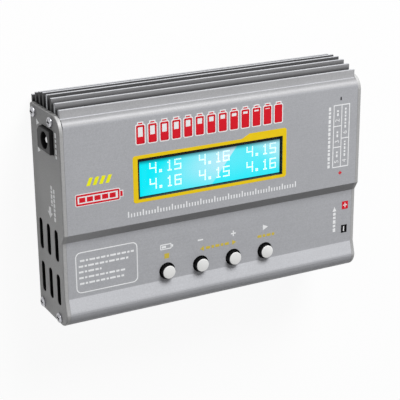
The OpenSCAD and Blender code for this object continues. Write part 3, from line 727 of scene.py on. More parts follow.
class Shop:
    """Turns bmeshes in millimetres into finished pieces in metres.

    Edges over the angle CRISP stay sharp, and faces under the angle FLAT join. Points become one within JOIN
    in a copied shape and within SAME in a drawn one. ROUND is a round edge's profile, and OWN_FINISH leaves
    each new face the finish beside it.
    """

    CRISP = math.radians(50)
    FLAT = math.radians(0.4)
    JOIN = 0.002
    SAME = 0.001
    ROUND = 0.5
    OWN_FINISH = -1

    @staticmethod
    def piece(name: str, mesh: BMesh, finish: Finish, body: str = CASE, slot: str | None = None,
              stands_for: Sequence[str] = (), others: Sequence[Finish] = ()) -> bpy.types.Object:
        """Makes a piece and sets it on a body.

        Args:
            name: Name of the piece.
            mesh: Its shape in millimetres, which is used up.
            finish: Its finish.
            body: Body that it rides on.
            slot: Material slot of the record; not used.
            stands_for: Nodes that it is shown instead of.
            others: Finishes of the faces whose material index is 1, 2 and so on.

        Returns:
            The new object.
        """
        bmesh.ops.scale(mesh, vec=(MM, MM, MM), verts=mesh.verts)
        for face in mesh.faces:
            face.smooth = True
        for edge in mesh.edges:
            edge.smooth = not edge.is_manifold or edge.calc_face_angle() < Shop.CRISP
        data = bpy.data.meshes.new(name)
        mesh.to_mesh(data)
        mesh.free()
        stale = data.attributes.get("custom_normal")
        if stale:
            data.attributes.remove(stale)
        for each in (finish, *others):
            data.materials.append(each.material())
        made = bpy.data.objects.new(name, data)
        bpy.context.scene.collection.objects.link(made)
        weighted = made.modifiers.new("face weights", "WEIGHTED_NORMAL")
        weighted.keep_sharp = True
        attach(made, body)
        if stands_for:
            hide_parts(*stands_for)
        LOG.info("piece %s: %d faces on %s", name, len(data.polygons), body)
        return made

    @staticmethod
    def copy_of(node: str) -> BMesh:
        """A node's shape in millimetres, with its triangles joined into flat faces.

        Args:
            node: Name of the node.

        Returns:
            The copied shape.
        """
        mesh = bmesh.new()
        mesh.from_mesh(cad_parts[node].data)
        bmesh.ops.scale(mesh, vec=(1 / MM, 1 / MM, 1 / MM), verts=mesh.verts)
        bmesh.ops.remove_doubles(mesh, verts=mesh.verts, dist=Shop.JOIN)
        bmesh.ops.dissolve_limit(mesh, angle_limit=Shop.FLAT, verts=mesh.verts, edges=mesh.edges)
        return mesh

    @staticmethod
    def soften(mesh: BMesh, width: float, pick: EdgeTest | None = None, segments: int = 2,
               least: float = 28.0) -> None:
        """Rounds the sharp edges of a shape.

        Args:
            mesh: The shape in millimetres.
            width: Width of the rounding.
            pick: Test that an edge passes to be rounded.
            segments: Number of faces across the rounding.
            least: Angle in degrees over which an edge counts as sharp.
        """
        sharp = math.radians(least)
        edges = [e for e in mesh.edges
                 if e.is_manifold and e.calc_face_angle() > sharp and (pick is None or pick(e))]
        bmesh.ops.bevel(mesh, geom=edges, offset=width, offset_type="OFFSET", segments=segments,
                        profile=Shop.ROUND, affect="EDGES", clamp_overlap=False, material=Shop.OWN_FINISH)

    @staticmethod
    def thicken(mesh: BMesh, flat: Sequence[BMFace], height: float) -> None:
        """Gives flat faces a thickness.

        Args:
            mesh: The shape in millimetres.
            flat: Its faces that lie flat.
            height: Thickness, along Z.
        """
        raised = bmesh.ops.extrude_face_region(mesh, geom=flat, use_keep_orig=True)
        tops = [v for v in raised["geom"] if isinstance(v, BMVert)]
        bmesh.ops.translate(mesh, vec=(0, 0, height), verts=tops)
        bmesh.ops.recalc_face_normals(mesh, faces=mesh.faces)

    @staticmethod
    def absorb(mesh: BMesh, part: BMesh) -> None:
        """Adds one shape to another.

        Args:
            mesh: The shape that grows.
            part: The shape that is added, which is used up.
        """
        carrier = bpy.data.meshes.new("carrier")
        part.to_mesh(carrier)
        part.free()
        mesh.from_mesh(carrier)
        bpy.data.meshes.remove(carrier)


def middle(edge: BMEdge) -> Vector:
    """Middle of an edge."""
    return (edge.verts[0].co + edge.verts[1].co) / 2


@dataclass(frozen=True)
class Softened:
    """A node shown as its own shape with rounded edges."""

    name: str
    node: str
    finish: Finish
    slot: str
    width: float
    body: str = CASE

    def build(self) -> bpy.types.Object:
        """Makes the piece.

        Returns:
            The new object.
        """
        mesh = Shop.copy_of(self.node)
        Shop.soften(mesh, self.width)
        return Shop.piece(self.name, mesh, self.finish, self.body, self.slot, (self.node,))


@dataclass
class CaseBody:
    """The extrusion, its base, the two end plates and the feet. Sizes in millimetres."""

    edge: float = 0.2
    foot_edge: float = 0.6
    crease: float = 12.0
    long_edge: float = 50.0
    hollow_y: Point = (-42.5, 33.6)
    raised_y: float = -6.3
    raised_wall_z: float = 30.7
    lower_wall_z: float = 28.7
    root: Point = (38.4, 30.0)
    root_line: float = 0.3
    root_steps: int = 1
    root_clear: Point = (0.6, 0.1)
    lip: Point = (-38.6, 32.4)
    lip_round: float = 0.8
    lip_steps: int = 6
    near: float = 0.05
    ramp_y: float = -32.0
    ramp_slope: Point = (0.1, 0.5)
    step_y: Point = (-10.2, -6.0)
    shoulder_y: float = 35.6
    window_x: float = 60.0
    window_y: Point = (3.0, 20.0)
    gap_clear: float = 0.2
    floor_drop: float = 0.4
    facing: float = 0.8
    turned: float = 0.3
    plate_edge: float = 0.14
    plate_round: float = 0.5
    plate_steps: int = 4
    plate_x: float = 66.4
    fin_facing: float = 0.97
    front_facing: float = 0.2
    hole_y: Point = (-42.2, 36.5)
    hole_z: Point = (7.6, 25.2)
    hole_r: float = 1.8
    opening_y: Point = (-38.0, 35.0)
    opening_z: Point = (5.5, 28.6)
    vent_y: Point = (-38.0, -5.0)
    vent_z: Spot = (9.0, 17.0, 25.0)
    vent_reach: float = 1.6
    vent_widen: float = 1.18

    def build(self) -> None:
        """Makes the case's pieces."""
        self.extrusion()
        Softened("case_base", "base_cover", Finishes.BASE, "base_metal", self.edge).build()
        for end in End:
            self.plate(end)
        Softened("foot_pads", "rubber_feet", Finishes.RUBBER, "foot_rubber", self.foot_edge).build()

    def extrusion(self) -> None:
        """Makes the finned body, with narrow roundings between the flat bands of its front."""
        mesh = Shop.copy_of("heat_sink_shell")
        Shop.soften(mesh, self.root_line, self.at_root, self.root_steps)
        Shop.soften(mesh, self.lip_round, self.at_lip, self.lip_steps, self.crease)
        Shop.soften(mesh, self.edge, self.outside, least=self.crease)
        for face in mesh.faces:
            face.material_index = int(self.shell_side(face))
        Shop.piece("case_extrusion", mesh, Finishes.SHELL, CASE, "anodised_shell", ("heat_sink_shell",),
                   (Finishes.SHADED, Finishes.LIP_HIGHLIGHT))

    def at_root(self, edge: BMEdge) -> bool:
        """Whether an edge lies where the front fin meets the shoulder."""
        return self.on_line(edge, self.root)

    def at_lip(self, edge: BMEdge) -> bool:
        """Whether an edge lies where the ramp meets the lip's arc."""
        return self.on_line(edge, self.lip)

    def on_line(self, edge: BMEdge, line: Point) -> bool:
        """Whether an edge lies on a line along the case, given by its Y and Z."""
        spot = middle(edge)
        return abs(spot.y - line[0]) < self.near and abs(spot.z - line[1]) < self.near

    def outside(self, edge: BMEdge) -> bool:
        """Whether an edge runs along the extrusion outside its hollow, and isn't the front fin's root.

        Args:
            edge: An edge of the extrusion.

        Returns:
            Whether it is rounded.
        """
        spot = middle(edge)
        if edge.calc_length() < self.long_edge or self.window_y[0] < spot.y < self.window_y[1]:
            return False
        if abs(spot.y - self.root[0]) < self.root_clear[0] and spot.z > self.root[1] - self.root_clear[1]:
            return False
        ceiling = self.raised_wall_z if spot.y > self.raised_y else self.lower_wall_z
        return not (self.hollow_y[0] < spot.y < self.hollow_y[1] and spot.z < ceiling)

    def shell_side(self, face: BMFace) -> ShellSide:
        """Which finish a face of the extrusion has.

        Args:
            face: The face.

        Returns:
            The ramp, with its painted highlight, on the band that rises to the lip; shaded where less light
            falls; otherwise plain.
        """
        low, high = self.ramp_slope
        if face.calc_center_median().y < self.ramp_y and low < face.normal.y < high < face.normal.z:
            return ShellSide.RAMP
        return ShellSide.SHADED if self.shaded(face) else ShellSide.PLAIN

    def shaded(self, face: BMFace) -> bool:
        """Whether a face of the extrusion is in a fin gap, on a sawn end, the step or a window wall.

        Args:
            face: The face.

        Returns:
            Whether it takes the shaded finish: painted shade where less light falls, and a darker tone on the
                sawn ends.
        """
        spot = face.calc_center_median()
        normal = face.normal
        root_y, root_z = self.root
        in_gap = spot.y > root_y + self.gap_clear and abs(normal.z) > self.facing
        at_floor = abs(spot.y - root_y) < self.gap_clear and normal.y > self.facing
        floor = at_floor and spot.z < root_z - self.floor_drop
        sawn = spot.y > root_y and abs(normal.x) > self.facing
        in_step = self.step_y[0] < spot.y < self.step_y[1] and spot.z > self.lower_wall_z
        step = in_step and normal.y < -self.turned
        in_window = self.window_y[0] < spot.y < self.window_y[1] and abs(spot.x) < self.window_x
        wall = in_window and abs(normal.z) < self.turned and spot.z > self.raised_wall_z
        arc = spot.y > self.shoulder_y and normal.y > self.turned and spot.z > root_z + self.gap_clear
        return in_gap or floor or sawn or step or arc or wall

    def plate(self, end: End) -> None:
        """Makes an end plate whose openings have black walls as painted shade.

        Args:
            end: Which end it closes.
        """
        node = f"{end.value}_end_plate"
        mesh = Shop.copy_of(node)
        if end is End.LEFT:
            self.flare_vents(mesh)
        Shop.soften(mesh, self.plate_round, self.on_contour, self.plate_steps)
        Shop.soften(mesh, self.plate_edge)
        # the openings' walls take black as painted shade, the front edge a painted highlight and the edge
        # under the fins painted shade
        for face in mesh.faces:
            face.material_index = int(self.plate_side(face))
        Shop.piece(f"{end.value}_panel", mesh, Finishes.PLATE, CASE, "end_plate_paint", (node,),
                   (Finishes.BEZEL, Finishes.EDGE_HIGHLIGHT, Finishes.FIN_EDGE))

    def flare_vents(self, mesh: BMesh) -> None:
        """Widens the vents a little past the solid's, towards their width in the photograph.

        Args:
            mesh: The left end plate.
        """
        for column in self.vent_z:
            rim = [v for v in mesh.verts
                   if self.vent_y[0] < v.co.y < self.vent_y[1] and abs(v.co.z - column) < self.vent_reach]
            centred = Matrix.Translation((0, 0, -column))
            bmesh.ops.scale(mesh, vec=(1, 1, self.vent_widen), space=centred, verts=rim)

    def in_opening(self, spot: Vector) -> bool:
        """Whether a place of an end plate is at one of its openings."""
        return (self.opening_y[0] < spot.y < self.opening_y[1]
                and self.opening_z[0] < spot.z < self.opening_z[1])

    def on_contour(self, edge: BMEdge) -> bool:
        """Whether an edge runs round the outside of an end plate's outer face.

        Args:
            edge: An edge of the plate.

        Returns:
            Whether it is on the outer contour, and at no opening or screw hole.
        """
        spot = middle(edge)
        if min(abs(vert.co.x) for vert in edge.verts) < self.plate_x or self.in_opening(spot):
            return False
        return all(math.hypot(spot.y - y, spot.z - z) > self.hole_r for y in self.hole_y for z in self.hole_z)

    def plate_side(self, face: BMFace) -> PlateSide:
        """Which finish a face of an end plate has.

        Args:
            face: The face.

        Returns:
            The opening's painted shade, the front edge's painted highlight, the painted shade of the edge
            under the fins, or plain.
        """
        normal = face.normal
        if abs(normal.x) > self.turned:
            return PlateSide.PLAIN
        if self.in_opening(face.calc_center_median()):
            return PlateSide.OPENING
        if normal.y > self.fin_facing:
            return PlateSide.FIN_EDGE
        return PlateSide.FRONT_EDGE if normal.z > self.front_facing else PlateSide.PLAIN


@dataclass
class PanScrews:
    """Cross-recessed pan screws of one end plate. Sizes in millimetres."""

    end: End
    plate_x: float = 66.5
    head_r: float = 2.0
    head_h: float = 1.0
    dome: float = 0.55
    dome_steps: int = 5
    rim: float = 0.2
    recess_r: float = 1.36
    near: float = 0.01
    sunk: float = 0.02

    def build(self) -> None:
        """Rounds the heads' rims into a dome and darkens the recesses with painted shade."""
        node = f"{self.end.value}_plate_screws"
        mesh = Shop.copy_of(node)
        top = self.plate_x + self.head_h
        centres = self.centres(mesh)

        def reach(spot: Vector) -> float:
            """Distance of a place from the nearest screw's axis."""
            return min(math.hypot(spot.y - y, spot.z - z) for y, z in centres)

        def on_rim(edge: BMEdge) -> bool:
            """Whether an edge runs round the top of a head."""
            spot = middle(edge)
            return abs(abs(spot.x) - top) < self.near and reach(spot) > self.head_r - self.rim

        Shop.soften(mesh, self.dome, on_rim, self.dome_steps)
        for face in mesh.faces:
            spot = face.calc_center_median()
            below = self.plate_x + self.sunk < abs(spot.x) < top - self.sunk
            # recess faces take the painted shade
            face.material_index = int(below and reach(spot) < self.recess_r)
        Shop.piece(f"{self.end.value}_panel_screws", mesh, Finishes.SCREW, CASE, "screw_steel", (node,),
                   (Finishes.RECESS,))

    def centres(self, mesh: BMesh) -> list[Point]:
        """Y and Z of each screw's axis, from the two ends of the screws' box each way.

        Args:
            mesh: The four screws.

        Returns:
            The four places.
        """
        ys = [v.co.y for v in mesh.verts]
        zs = [v.co.z for v in mesh.verts]
        rows = (min(ys) + self.head_r, max(ys) - self.head_r)
        return [(y, z) for y in rows for z in (min(zs) + self.head_r, max(zs) - self.head_r)]


@dataclass
class KeyRow:
    """The four push keys: a black skirt under a white top. Sizes in millimetres."""

    count: int = 4
    skirt_edge: float = 0.15
    top_r: float = 2.68
    top_z: Point = (32.3, 33.0)
    top_crown: float = 0.05
    top_edge: float = 0.18
    top_edge_steps: int = 4
    steps: int = 48

    def build(self) -> None:
        """Makes a skirt and a top for each key."""
        for i in range(1, self.count + 1):
            Softened(f"key_skirt_{i}", f"key_cap_{i}", Finishes.BEZEL, "black_plastic", self.skirt_edge,
                     f"key_{i}").build()
            low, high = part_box(f"key_cap_{i}")
            self.top(i, (low + high) / 2 / MM)

    def top(self, number: int, centre: Vector) -> None:
        """Makes the white top of a key.

        Args:
            number: Number of the key.
            centre: Middle of the key, of which X and Y count.
        """
        low, high = self.top_z
        mesh = bmesh.new()
        profile = [(0, low), (self.top_r, low), (self.top_r, high - self.top_crown), (0, high)]
        verts = [mesh.verts.new((centre.x + r, centre.y, z)) for r, z in profile]
        edges = [mesh.edges.new(pair) for pair in zip(verts, verts[1:])]
        bmesh.ops.spin(mesh, geom=verts + edges, cent=(centre.x, centre.y, 0), axis=(0, 0, 1), dvec=(0, 0, 0),
                       angle=2 * math.pi, steps=self.steps, use_merge=True, use_duplicate=False)
        bmesh.ops.remove_doubles(mesh, verts=mesh.verts, dist=Shop.SAME)
        bmesh.ops.recalc_face_normals(mesh, faces=mesh.faces)
        Shop.soften(mesh, self.top_edge, None, self.top_edge_steps)
        Shop.piece(f"key_top_{number}", mesh, Finishes.KEY, f"key_{number}", "key_white")


@dataclass(frozen=True)
class DashRow:
    """A row of plain dashes in millimetres, from the middle of its first end."""

    start: Point
    length: float
    height: float
    runs: tuple[float, ...]
    gap: float = 0.5
    upright: bool = False


class InkSheet:
    """Flat marks of one ink on one face of the case, drawn in millimetres.

    The ink reaches UNDER its face and OVER it, and a second ink lies higher by LAYER.
    """

    UNDER = 0.02
    OVER = 0.03
    LAYER = 0.02
    SMALLEST = 0.01
    CORNER_STEPS = 5
    DIGIT_SIZE = 1.4
    DIGIT_STEPS = 3
    PLATE_X = -66.5
    FACE_Z = {Face.RAISED: 33.0, Face.LOWER: 30.8}

    def __init__(self, name: str, ink: Ink, face: Face, layer: int = 0) -> None:
        """Starts an empty sheet.

        Args:
            name: Name of the piece that the marks become.
            ink: The ink.
            face: Face of the case that is printed.
            layer: Nought for the first ink on that face, one for the ink over it.
        """
        self.name = name
        self.ink = ink
        self.face = face
        self.low = self.LAYER * layer if layer else -self.UNDER
        self.high = self.OVER + self.LAYER * layer
        self.mesh = bmesh.new()

    def panel(self, points: Iterable[Point], radius: float = 0.0, line: float = 0.0) -> None:
        """Adds a filled shape, or only its outline.

        Args:
            points: Corners of the shape.
            radius: Radius of its corners.
            line: Width of the outline, or nought to fill the shape.
        """
        part = bmesh.new()
        face = part.faces.new([part.verts.new((x, y, 0)) for x, y in points])
        if face.calc_area() and face.normal.z < 0:
            face.normal_flip()
        if radius:
            bmesh.ops.bevel(part, geom=part.verts[:], offset=radius, offset_type="OFFSET",
                            segments=self.CORNER_STEPS, profile=Shop.ROUND, affect="VERTICES",
                            clamp_overlap=True, material=Shop.OWN_FINISH)
        if line:
            inner = part.faces[:]
            bmesh.ops.inset_region(part, faces=inner, thickness=line, use_even_offset=True, use_boundary=True)
            bmesh.ops.delete(part, geom=inner, context="FACES")
        Shop.absorb(self.mesh, part)

    def bar(self, x0: float, y0: float, x1: float, y1: float, radius: float = 0.0, line: float = 0.0) -> None:
        """Adds a rectangle between two corners."""
        self.panel([(x0, y0), (x1, y0), (x1, y1), (x0, y1)], radius, line)

    def cross(self, spot: Point, size: float, stroke: float) -> None:
        """Adds a plus sign.

        Args:
            spot: Its middle.
            size: Its length each way.
            stroke: Width of its arms.
        """
        x, y = spot
        half, arm = size / 2, stroke / 2
        self.panel([(-arm + x, -half + y), (arm + x, -half + y), (arm + x, -arm + y), (half + x, -arm + y),
                    (half + x, arm + y), (arm + x, arm + y), (arm + x, half + y), (-arm + x, half + y),
                    (-arm + x, arm + y), (-half + x, arm + y), (-half + x, -arm + y), (-arm + x, -arm + y)])

    def dashes(self, row: DashRow) -> None:
        """Adds a row of plain dashes.

        Args:
            row: The row.
        """
        x, y = row.start
        half = row.height / 2
        at, turn = 0.0, 0
        while at < row.length - row.gap:
            end = min(at + row.runs[turn % len(row.runs)], row.length)
            if row.upright:
                self.bar(x - half, y + at, x + half, y + end)
            else:
                self.bar(x + at, y - half, x + end, y + half)
            at, turn = end + row.gap, turn + 1

    def number(self, text: str, x: float, y: float, height: float) -> None:
        """Adds a plain number that reads upwards along Y.

        Args:
            text: The digits.
            x: Middle of the number across the reading direction.
            y: Middle of the number along the reading direction.
            height: Height of the digits.
        """
        curve = bpy.data.curves.new("number", "FONT")
        curve.body = text
        curve.align_x = "CENTER"
        curve.align_y = "CENTER"
        curve.resolution_u = self.DIGIT_STEPS
        curve.size = height * self.DIGIT_SIZE
        holder = bpy.data.objects.new("number", curve)
        flat = bpy.data.meshes.new_from_object(holder)
        part = bmesh.new()
        part.from_mesh(flat)
        self.clean(part)
        bmesh.ops.rotate(part, cent=(0, 0, 0), matrix=Matrix.Rotation(math.pi / 2, 3, "Z"), verts=part.verts)
        bmesh.ops.translate(part, vec=(x, y, 0), verts=part.verts)
        bpy.data.objects.remove(holder)
        bpy.data.curves.remove(curve)
        bpy.data.meshes.remove(flat)
        Shop.absorb(self.mesh, part)

    def clean(self, part: BMesh) -> None:
        """Joins the doubled points of a flat shape and turns the edges that leave slivers.

        Args:
            part: The shape.
        """
        bmesh.ops.remove_doubles(part, verts=part.verts, dist=Shop.SAME)
        bmesh.ops.dissolve_degenerate(part, dist=self.SMALLEST, edges=part.edges)
        bmesh.ops.triangulate(part, faces=part.faces)
        slivers = [face for face in part.faces if face.calc_area() < self.SMALLEST ** 2]
        longest = [max(face.edges, key=BMEdge.calc_length) for face in slivers]
        bmesh.ops.rotate_edges(part, edges=longest, use_ccw=False)

    def print(self) -> bpy.types.Object:
        """Gives the marks their thickness, lays them on their face and makes the piece.

        Returns:
            The new object.
        """
        mesh = self.mesh
        bmesh.ops.translate(mesh, vec=(0, 0, self.low), verts=mesh.verts)
        bmesh.ops.recalc_face_normals(mesh, faces=mesh.faces)
        Shop.thicken(mesh, mesh.faces[:], self.high - self.low)
        bmesh.ops.transform(mesh, matrix=self.seat(), verts=mesh.verts)
        return Shop.piece(self.name, mesh, self.ink)

    def seat(self) -> Matrix:
        """Where the sheet lies: its own X and Y on the face, its Z out of it.

        Returns:
            The matrix of its place.
        """
        if self.face is not Face.LEFT_PLATE:
            return Matrix.Translation((0, 0, self.FACE_Z[self.face]))
        along, up, out = Vector((0, -1, 0)), Vector((0, 0, 1)), Vector((-1, 0, 0))
        turned = Matrix((along, up, out)).transposed().to_4x4()
        return Matrix.Translation((self.PLATE_X, 0, 0)) @ turned


@dataclass
class DisplayFrame:
    """Yellow frame round the display's window, with a wider tab at its right. Sizes in millimetres."""

    window_x: Point = (-35.33, 28.93)
    window_y: Point = (3.37, 19.53)
    frame_x: Point = (-37.4, 30.7)
    frame_y: Point = (2.05, 20.9)
    tab_x: Point = (10.0, 13.6)
    tab_y: float = 22.7
    corner: float = 0.7

    def build(self) -> None:
        """Prints the frame in four strips."""
        sheet = InkSheet("frame_print", Finishes.YELLOW_INK, Face.RAISED)
        x0, x1 = self.frame_x
        y0, y1 = self.frame_y
        w0, w1 = self.window_x
        v0, v1 = self.window_y
        cut = self.corner
        sheet.panel([(x0 + cut, y0), (x1 - cut, y0), (x1, y0 + cut), (x1, v0), (x0, v0), (x0, y0 + cut)])
        sheet.bar(x0, v0, w0, v1)
        sheet.bar(w1, v0, x1, v1)
        sheet.panel([(x0, v1), (x1, v1), (x1, self.tab_y - cut), (x1 - cut, self.tab_y),
                     (self.tab_x[1], self.tab_y), (self.tab_x[0], y1), (x0 + cut, y1), (x0, y1 - cut)])
        sheet.print()


@dataclass
class CellRow:
    """Row of red cells with white outlines, filled higher towards the right. Sizes in millimetres."""

    left: float = -35.6
    low: float = 25.4
    width: float = 3.5
    height: float = 7.3
    pitch: float = 5.05
    count: int = 13
    rim: float = 0.42
    wall: float = 0.75
    nub: float = 0.9
    rim_corner: float = 0.8
    wall_corner: float = 0.5
    least_fill: float = 0.35

    def build(self) -> None:
        """Prints the outlines, then the cells over them."""
        white = InkSheet("title_outline_print", Finishes.WHITE_INK, Face.RAISED)
        red = InkSheet("title_cells_print", Finishes.RED_INK, Face.RAISED, 1)
        rim, wall, nub, low = self.rim, self.wall, self.nub, self.low
        top = low + self.height
        for i in range(self.count):
            x = self.left + i * self.pitch
            right = x + self.width
            mid = (x + right) / 2
            white.bar(x - rim, low - rim, right + rim, top + rim, self.rim_corner)
            white.bar(mid - nub - rim, top + rim, mid + nub + rim, top + nub + rim)
            red.bar(x, low, right, top, self.wall_corner, wall)
            red.bar(mid - nub, top + rim, mid + nub, top + nub)
            share = self.least_fill + (1 - self.least_fill) * i / (self.count - 1)
            red.bar(x + wall, low + wall, right - wall, low + wall + (self.height - 2 * wall) * share)
        white.print()
        red.print()


@dataclass
class ScaleMarks:
    """Fine white scale under the window, with longer ticks at even distances. Sizes in millimetres."""

    first: float = -40.0
    pitch: float = 1.25
    count: int = 61
    low: float = -3.2
    short: float = 1.5
    tall: float = 2.4
    tall_every: int = 5
    stroke: float = 0.55

    def build(self) -> None:
        """Prints the ticks."""
        sheet = InkSheet("scale_print", Finishes.WHITE_INK, Face.RAISED)
        for i in range(self.count):
            x = self.first + i * self.pitch
            height = self.short if i % self.tall_every else self.tall
            sheet.bar(x, self.low, x + self.stroke, self.low + height)
        sheet.print()


@dataclass
class SideMarks:
    """Slanted yellow strokes over a red cell with segments, left of the window. Sizes in millimetres."""

    stroke_x: float = -56.6
    stroke_y: Point = (12.3, 15.4)
    stroke_pitch: float = 2.6
    stroke_count: int = 4
    stroke: float = 1.5
    lean: float = 1.3
    cell_x: Point = (-61.0, -43.2)
    cell_y: Point = (5.0, 9.3)
    rim: float = 0.3
    rim_corner: float = 0.7
    wall: float = 0.7
    wall_corner: float = 0.5
    nub: float = 1.3
    nub_y: Point = (6.1, 8.2)
    segment_count: int = 5
    segment_pitch: float = 3.1
    segment_x: Point = (1.3, 3.8)
    segment_gap: float = 1.2

    def build(self) -> None:
        """Prints the strokes, then the cell."""
        self.strokes()
        self.cell()

    def strokes(self) -> None:
        """Prints the slanted strokes."""
        yellow = InkSheet("stroke_print", Finishes.LEMON_INK, Face.RAISED)
        low, high = self.stroke_y
        for i in range(self.stroke_count):
            x = self.stroke_x + i * self.stroke_pitch
            right = x + self.stroke
            yellow.panel([(x, low), (right, low), (right + self.lean, high), (x + self.lean, high)])
        yellow.print()

    def cell(self) -> None:
        """Prints the cell's white outline, then its red wall and segments over it."""
        white = InkSheet("cell_outline_print", Finishes.WHITE_INK, Face.RAISED)
        red = InkSheet("cell_print", Finishes.RED_INK, Face.RAISED, 1)
        x0, x1 = self.cell_x
        y0, y1 = self.cell_y
        n0, n1 = self.nub_y
        rim = self.rim
        white.bar(x0 - rim, y0 - rim, x1 + rim, y1 + rim, self.rim_corner)
        white.bar(x1 + rim, n0 - rim, x1 + self.nub + rim, n1 + rim)
        red.bar(x0, y0, x1, y1, self.wall_corner, self.wall)
        red.bar(x1 + rim, n0, x1 + self.nub, n1)
        for i in range(self.segment_count):
            left, right = (x0 + place + i * self.segment_pitch for place in self.segment_x)
            red.bar(left, y0 + self.segment_gap, right, y1 - self.segment_gap)
        white.print()
        red.print()


@dataclass
class SocketTable:
    """White table of the balance sockets with their numbers of cells. Sizes in millimetres."""

    column_x: Spot = (53.3, 57.15, 60.9)
    left_y: tuple[float, ...] = (2.1, 10.75, 19.75, 28.6)
    left_cells: str = "532"
    right_y: tuple[float, ...] = (2.1, 14.3, 28.6)
    right_cells: str = "46"
    line: float = 0.42
    digit_rise: float = 2.4
    digit_h: float = 2.1
    row_rise: float = 4.3
    row_less: float = 5.6
    row_h: float = 0.8
    row_runs: Point = (1.2, 0.8)
    side_row: DashRow = DashRow((51.3, 2.2), 26.2, 1.1, (1.3, 0.9, 1.6), upright=True)
    minus: Box = (56.3, 30.6, 56.9, 32.0)
    plus: Point = (57.1, -0.6)
    plus_size: Point = (1.6, 0.55)

    def build(self) -> None:
        """Prints the table, a minus over it and a plus under it."""
        self.table()
        black = InkSheet("minus_dot_print", Finishes.BLACK_INK, Face.RAISED)
        black.bar(*self.minus)
        black.print()
        red = InkSheet("plus_dot_print", Finishes.RED_INK, Face.RAISED)
        red.cross(self.plus, *self.plus_size)
        red.print()

    def table(self) -> None:
        """Prints the table's lines, numbers and dashes."""
        sheet = InkSheet("table_print", Finishes.WHITE_INK, Face.RAISED)
        left, mid, right = self.column_x
        half = self.line / 2
        low, high = self.left_y[0], self.left_y[-1]
        for x in self.column_x:
            sheet.bar(x - half, low - half, x + half, high + half)
        columns = ((left, mid, self.left_y, self.left_cells), (mid, right, self.right_y, self.right_cells))
        for x0, x1, places, labels in columns:
            centre = (x0 + x1) / 2
            for y in places:
                sheet.bar(x0 + half, y - half, x1 - half, y + half)
            for label, y0, y1 in zip(labels, places, places[1:]):
                sheet.number(label, centre, y0 + self.digit_rise, self.digit_h)
                sheet.dashes(DashRow((centre, y0 + self.row_rise), y1 - y0 - self.row_less, self.row_h,
                                     self.row_runs, upright=True))
        sheet.dashes(self.side_row)
        sheet.print()


@dataclass
class InfoBox:
    """White rounded box with rows of plain dashes. Sizes in millimetres."""

    box: Box = (-61.5, -31.3, -35.4, -14.4)
    corner: float = 2.2
    line: float = 0.42
    row_starts: Shape = ((-59.6, -18.0), (-60.2, -20.3), (-60.2, -22.6), (-60.2, -25.0), (-60.0, -27.4))
    row_lengths: tuple[float, ...] = (22.6, 21.0, 9.4, 19.6, 18.6)
    row_h: float = 0.8
    row_runs: tuple[float, ...] = (1.9, 1.0, 2.4, 1.4)

    def build(self) -> None:
        """Prints the box and its rows."""
        sheet = InkSheet("info_print", Finishes.WHITE_INK, Face.LOWER)
        sheet.bar(*self.box, self.corner, self.line)
        for start, length in zip(self.row_starts, self.row_lengths):
            sheet.dashes(DashRow(start, length, self.row_h, self.row_runs))
        sheet.print()


@dataclass
class KeyLegends:
    """White signs and dull yellow marks above the keys. Sizes in millimetres."""

    cell: Box = (-25.6, -20.2, -20.6, -17.9)
    cell_corner: float = 0.4
    cell_line: float = 0.4
    cell_nub: Box = (-20.5, -19.6, -19.9, -18.5)
    cell_fill: Box = (-24.9, -19.5, -23.0, -18.6)
    minus: Box = (-8.9, -19.4, -6.5, -18.8)
    plus: Point = (7.4, -19.1)
    plus_size: Point = (2.4, 0.6)
    start: Shape = ((21.3, -20.3), (23.7, -19.1), (21.3, -17.9))
    stop: Box = (-23.8, -24.0, -21.7, -21.9)
    back: Shape = ((-7.9, -22.95), (-6.1, -24.0), (-6.1, -21.9))
    onward: Shape = ((8.7, -22.95), (6.9, -21.9), (6.9, -24.0))
    rows: tuple[DashRow, ...] = (
        DashRow((-5.2, -22.95), 11.4, 1.1, (1.9, 1.2), 0.6),
        DashRow((18.8, -22.75), 8.6, 1.1, (1.9, 1.2), 0.6),
    )

    def build(self) -> None:
        """Prints the signs, then the marks."""
        white = InkSheet("legend_print", Finishes.WHITE_INK, Face.LOWER)
        white.bar(*self.cell, self.cell_corner, self.cell_line)
        white.bar(*self.cell_nub)
        white.bar(*self.cell_fill)
        white.bar(*self.minus)
        white.cross(self.plus, *self.plus_size)
        white.panel(self.start)
        white.print()
        yellow = InkSheet("legend_mark_print", Finishes.GOLD_INK, Face.LOWER)
        yellow.bar(*self.stop)
        yellow.panel(self.back)
        yellow.panel(self.onward)
        for row in self.rows:
            yellow.dashes(row)
        yellow.print()


@dataclass
class OutputSigns:
    """Plus and minus squares beside the outputs, with white signs and dashes. Sizes in millimetres."""

    plus_square: Box = (60.1, -18.05, 63.2, -14.6)
    minus_square: Box = (60.0, -28.7, 62.9, -25.2)
    plus: Point = (61.65, -16.3)
    plus_size: Point = (2.0, 0.42)
    minus: Box = (61.05, -28.05, 61.55, -25.85)
    row: DashRow = DashRow((56.4, -27.6), 8.6, 1.3, (1.6, 1.1), upright=True)
    arrow: Shape = ((55.4, -18.4), (57.4, -18.4), (56.4, -16.4))

    def build(self) -> None:
        """Prints the squares, their signs and the dashes."""
        red = InkSheet("plus_square_print", Finishes.RED_INK, Face.LOWER)
        red.bar(*self.plus_square)
        red.print()
        black = InkSheet("minus_square_print", Finishes.BLACK_INK, Face.LOWER)
        black.bar(*self.minus_square)
        black.print()
        white = InkSheet("sign_print", Finishes.WHITE_INK, Face.LOWER, 1)
        white.cross(self.plus, *self.plus_size)
        white.bar(*self.minus)
        white.print()
        side = InkSheet("output_print", Finishes.WHITE_INK, Face.LOWER)
        side.dashes(self.row)
        side.panel(self.arrow)
        side.print()


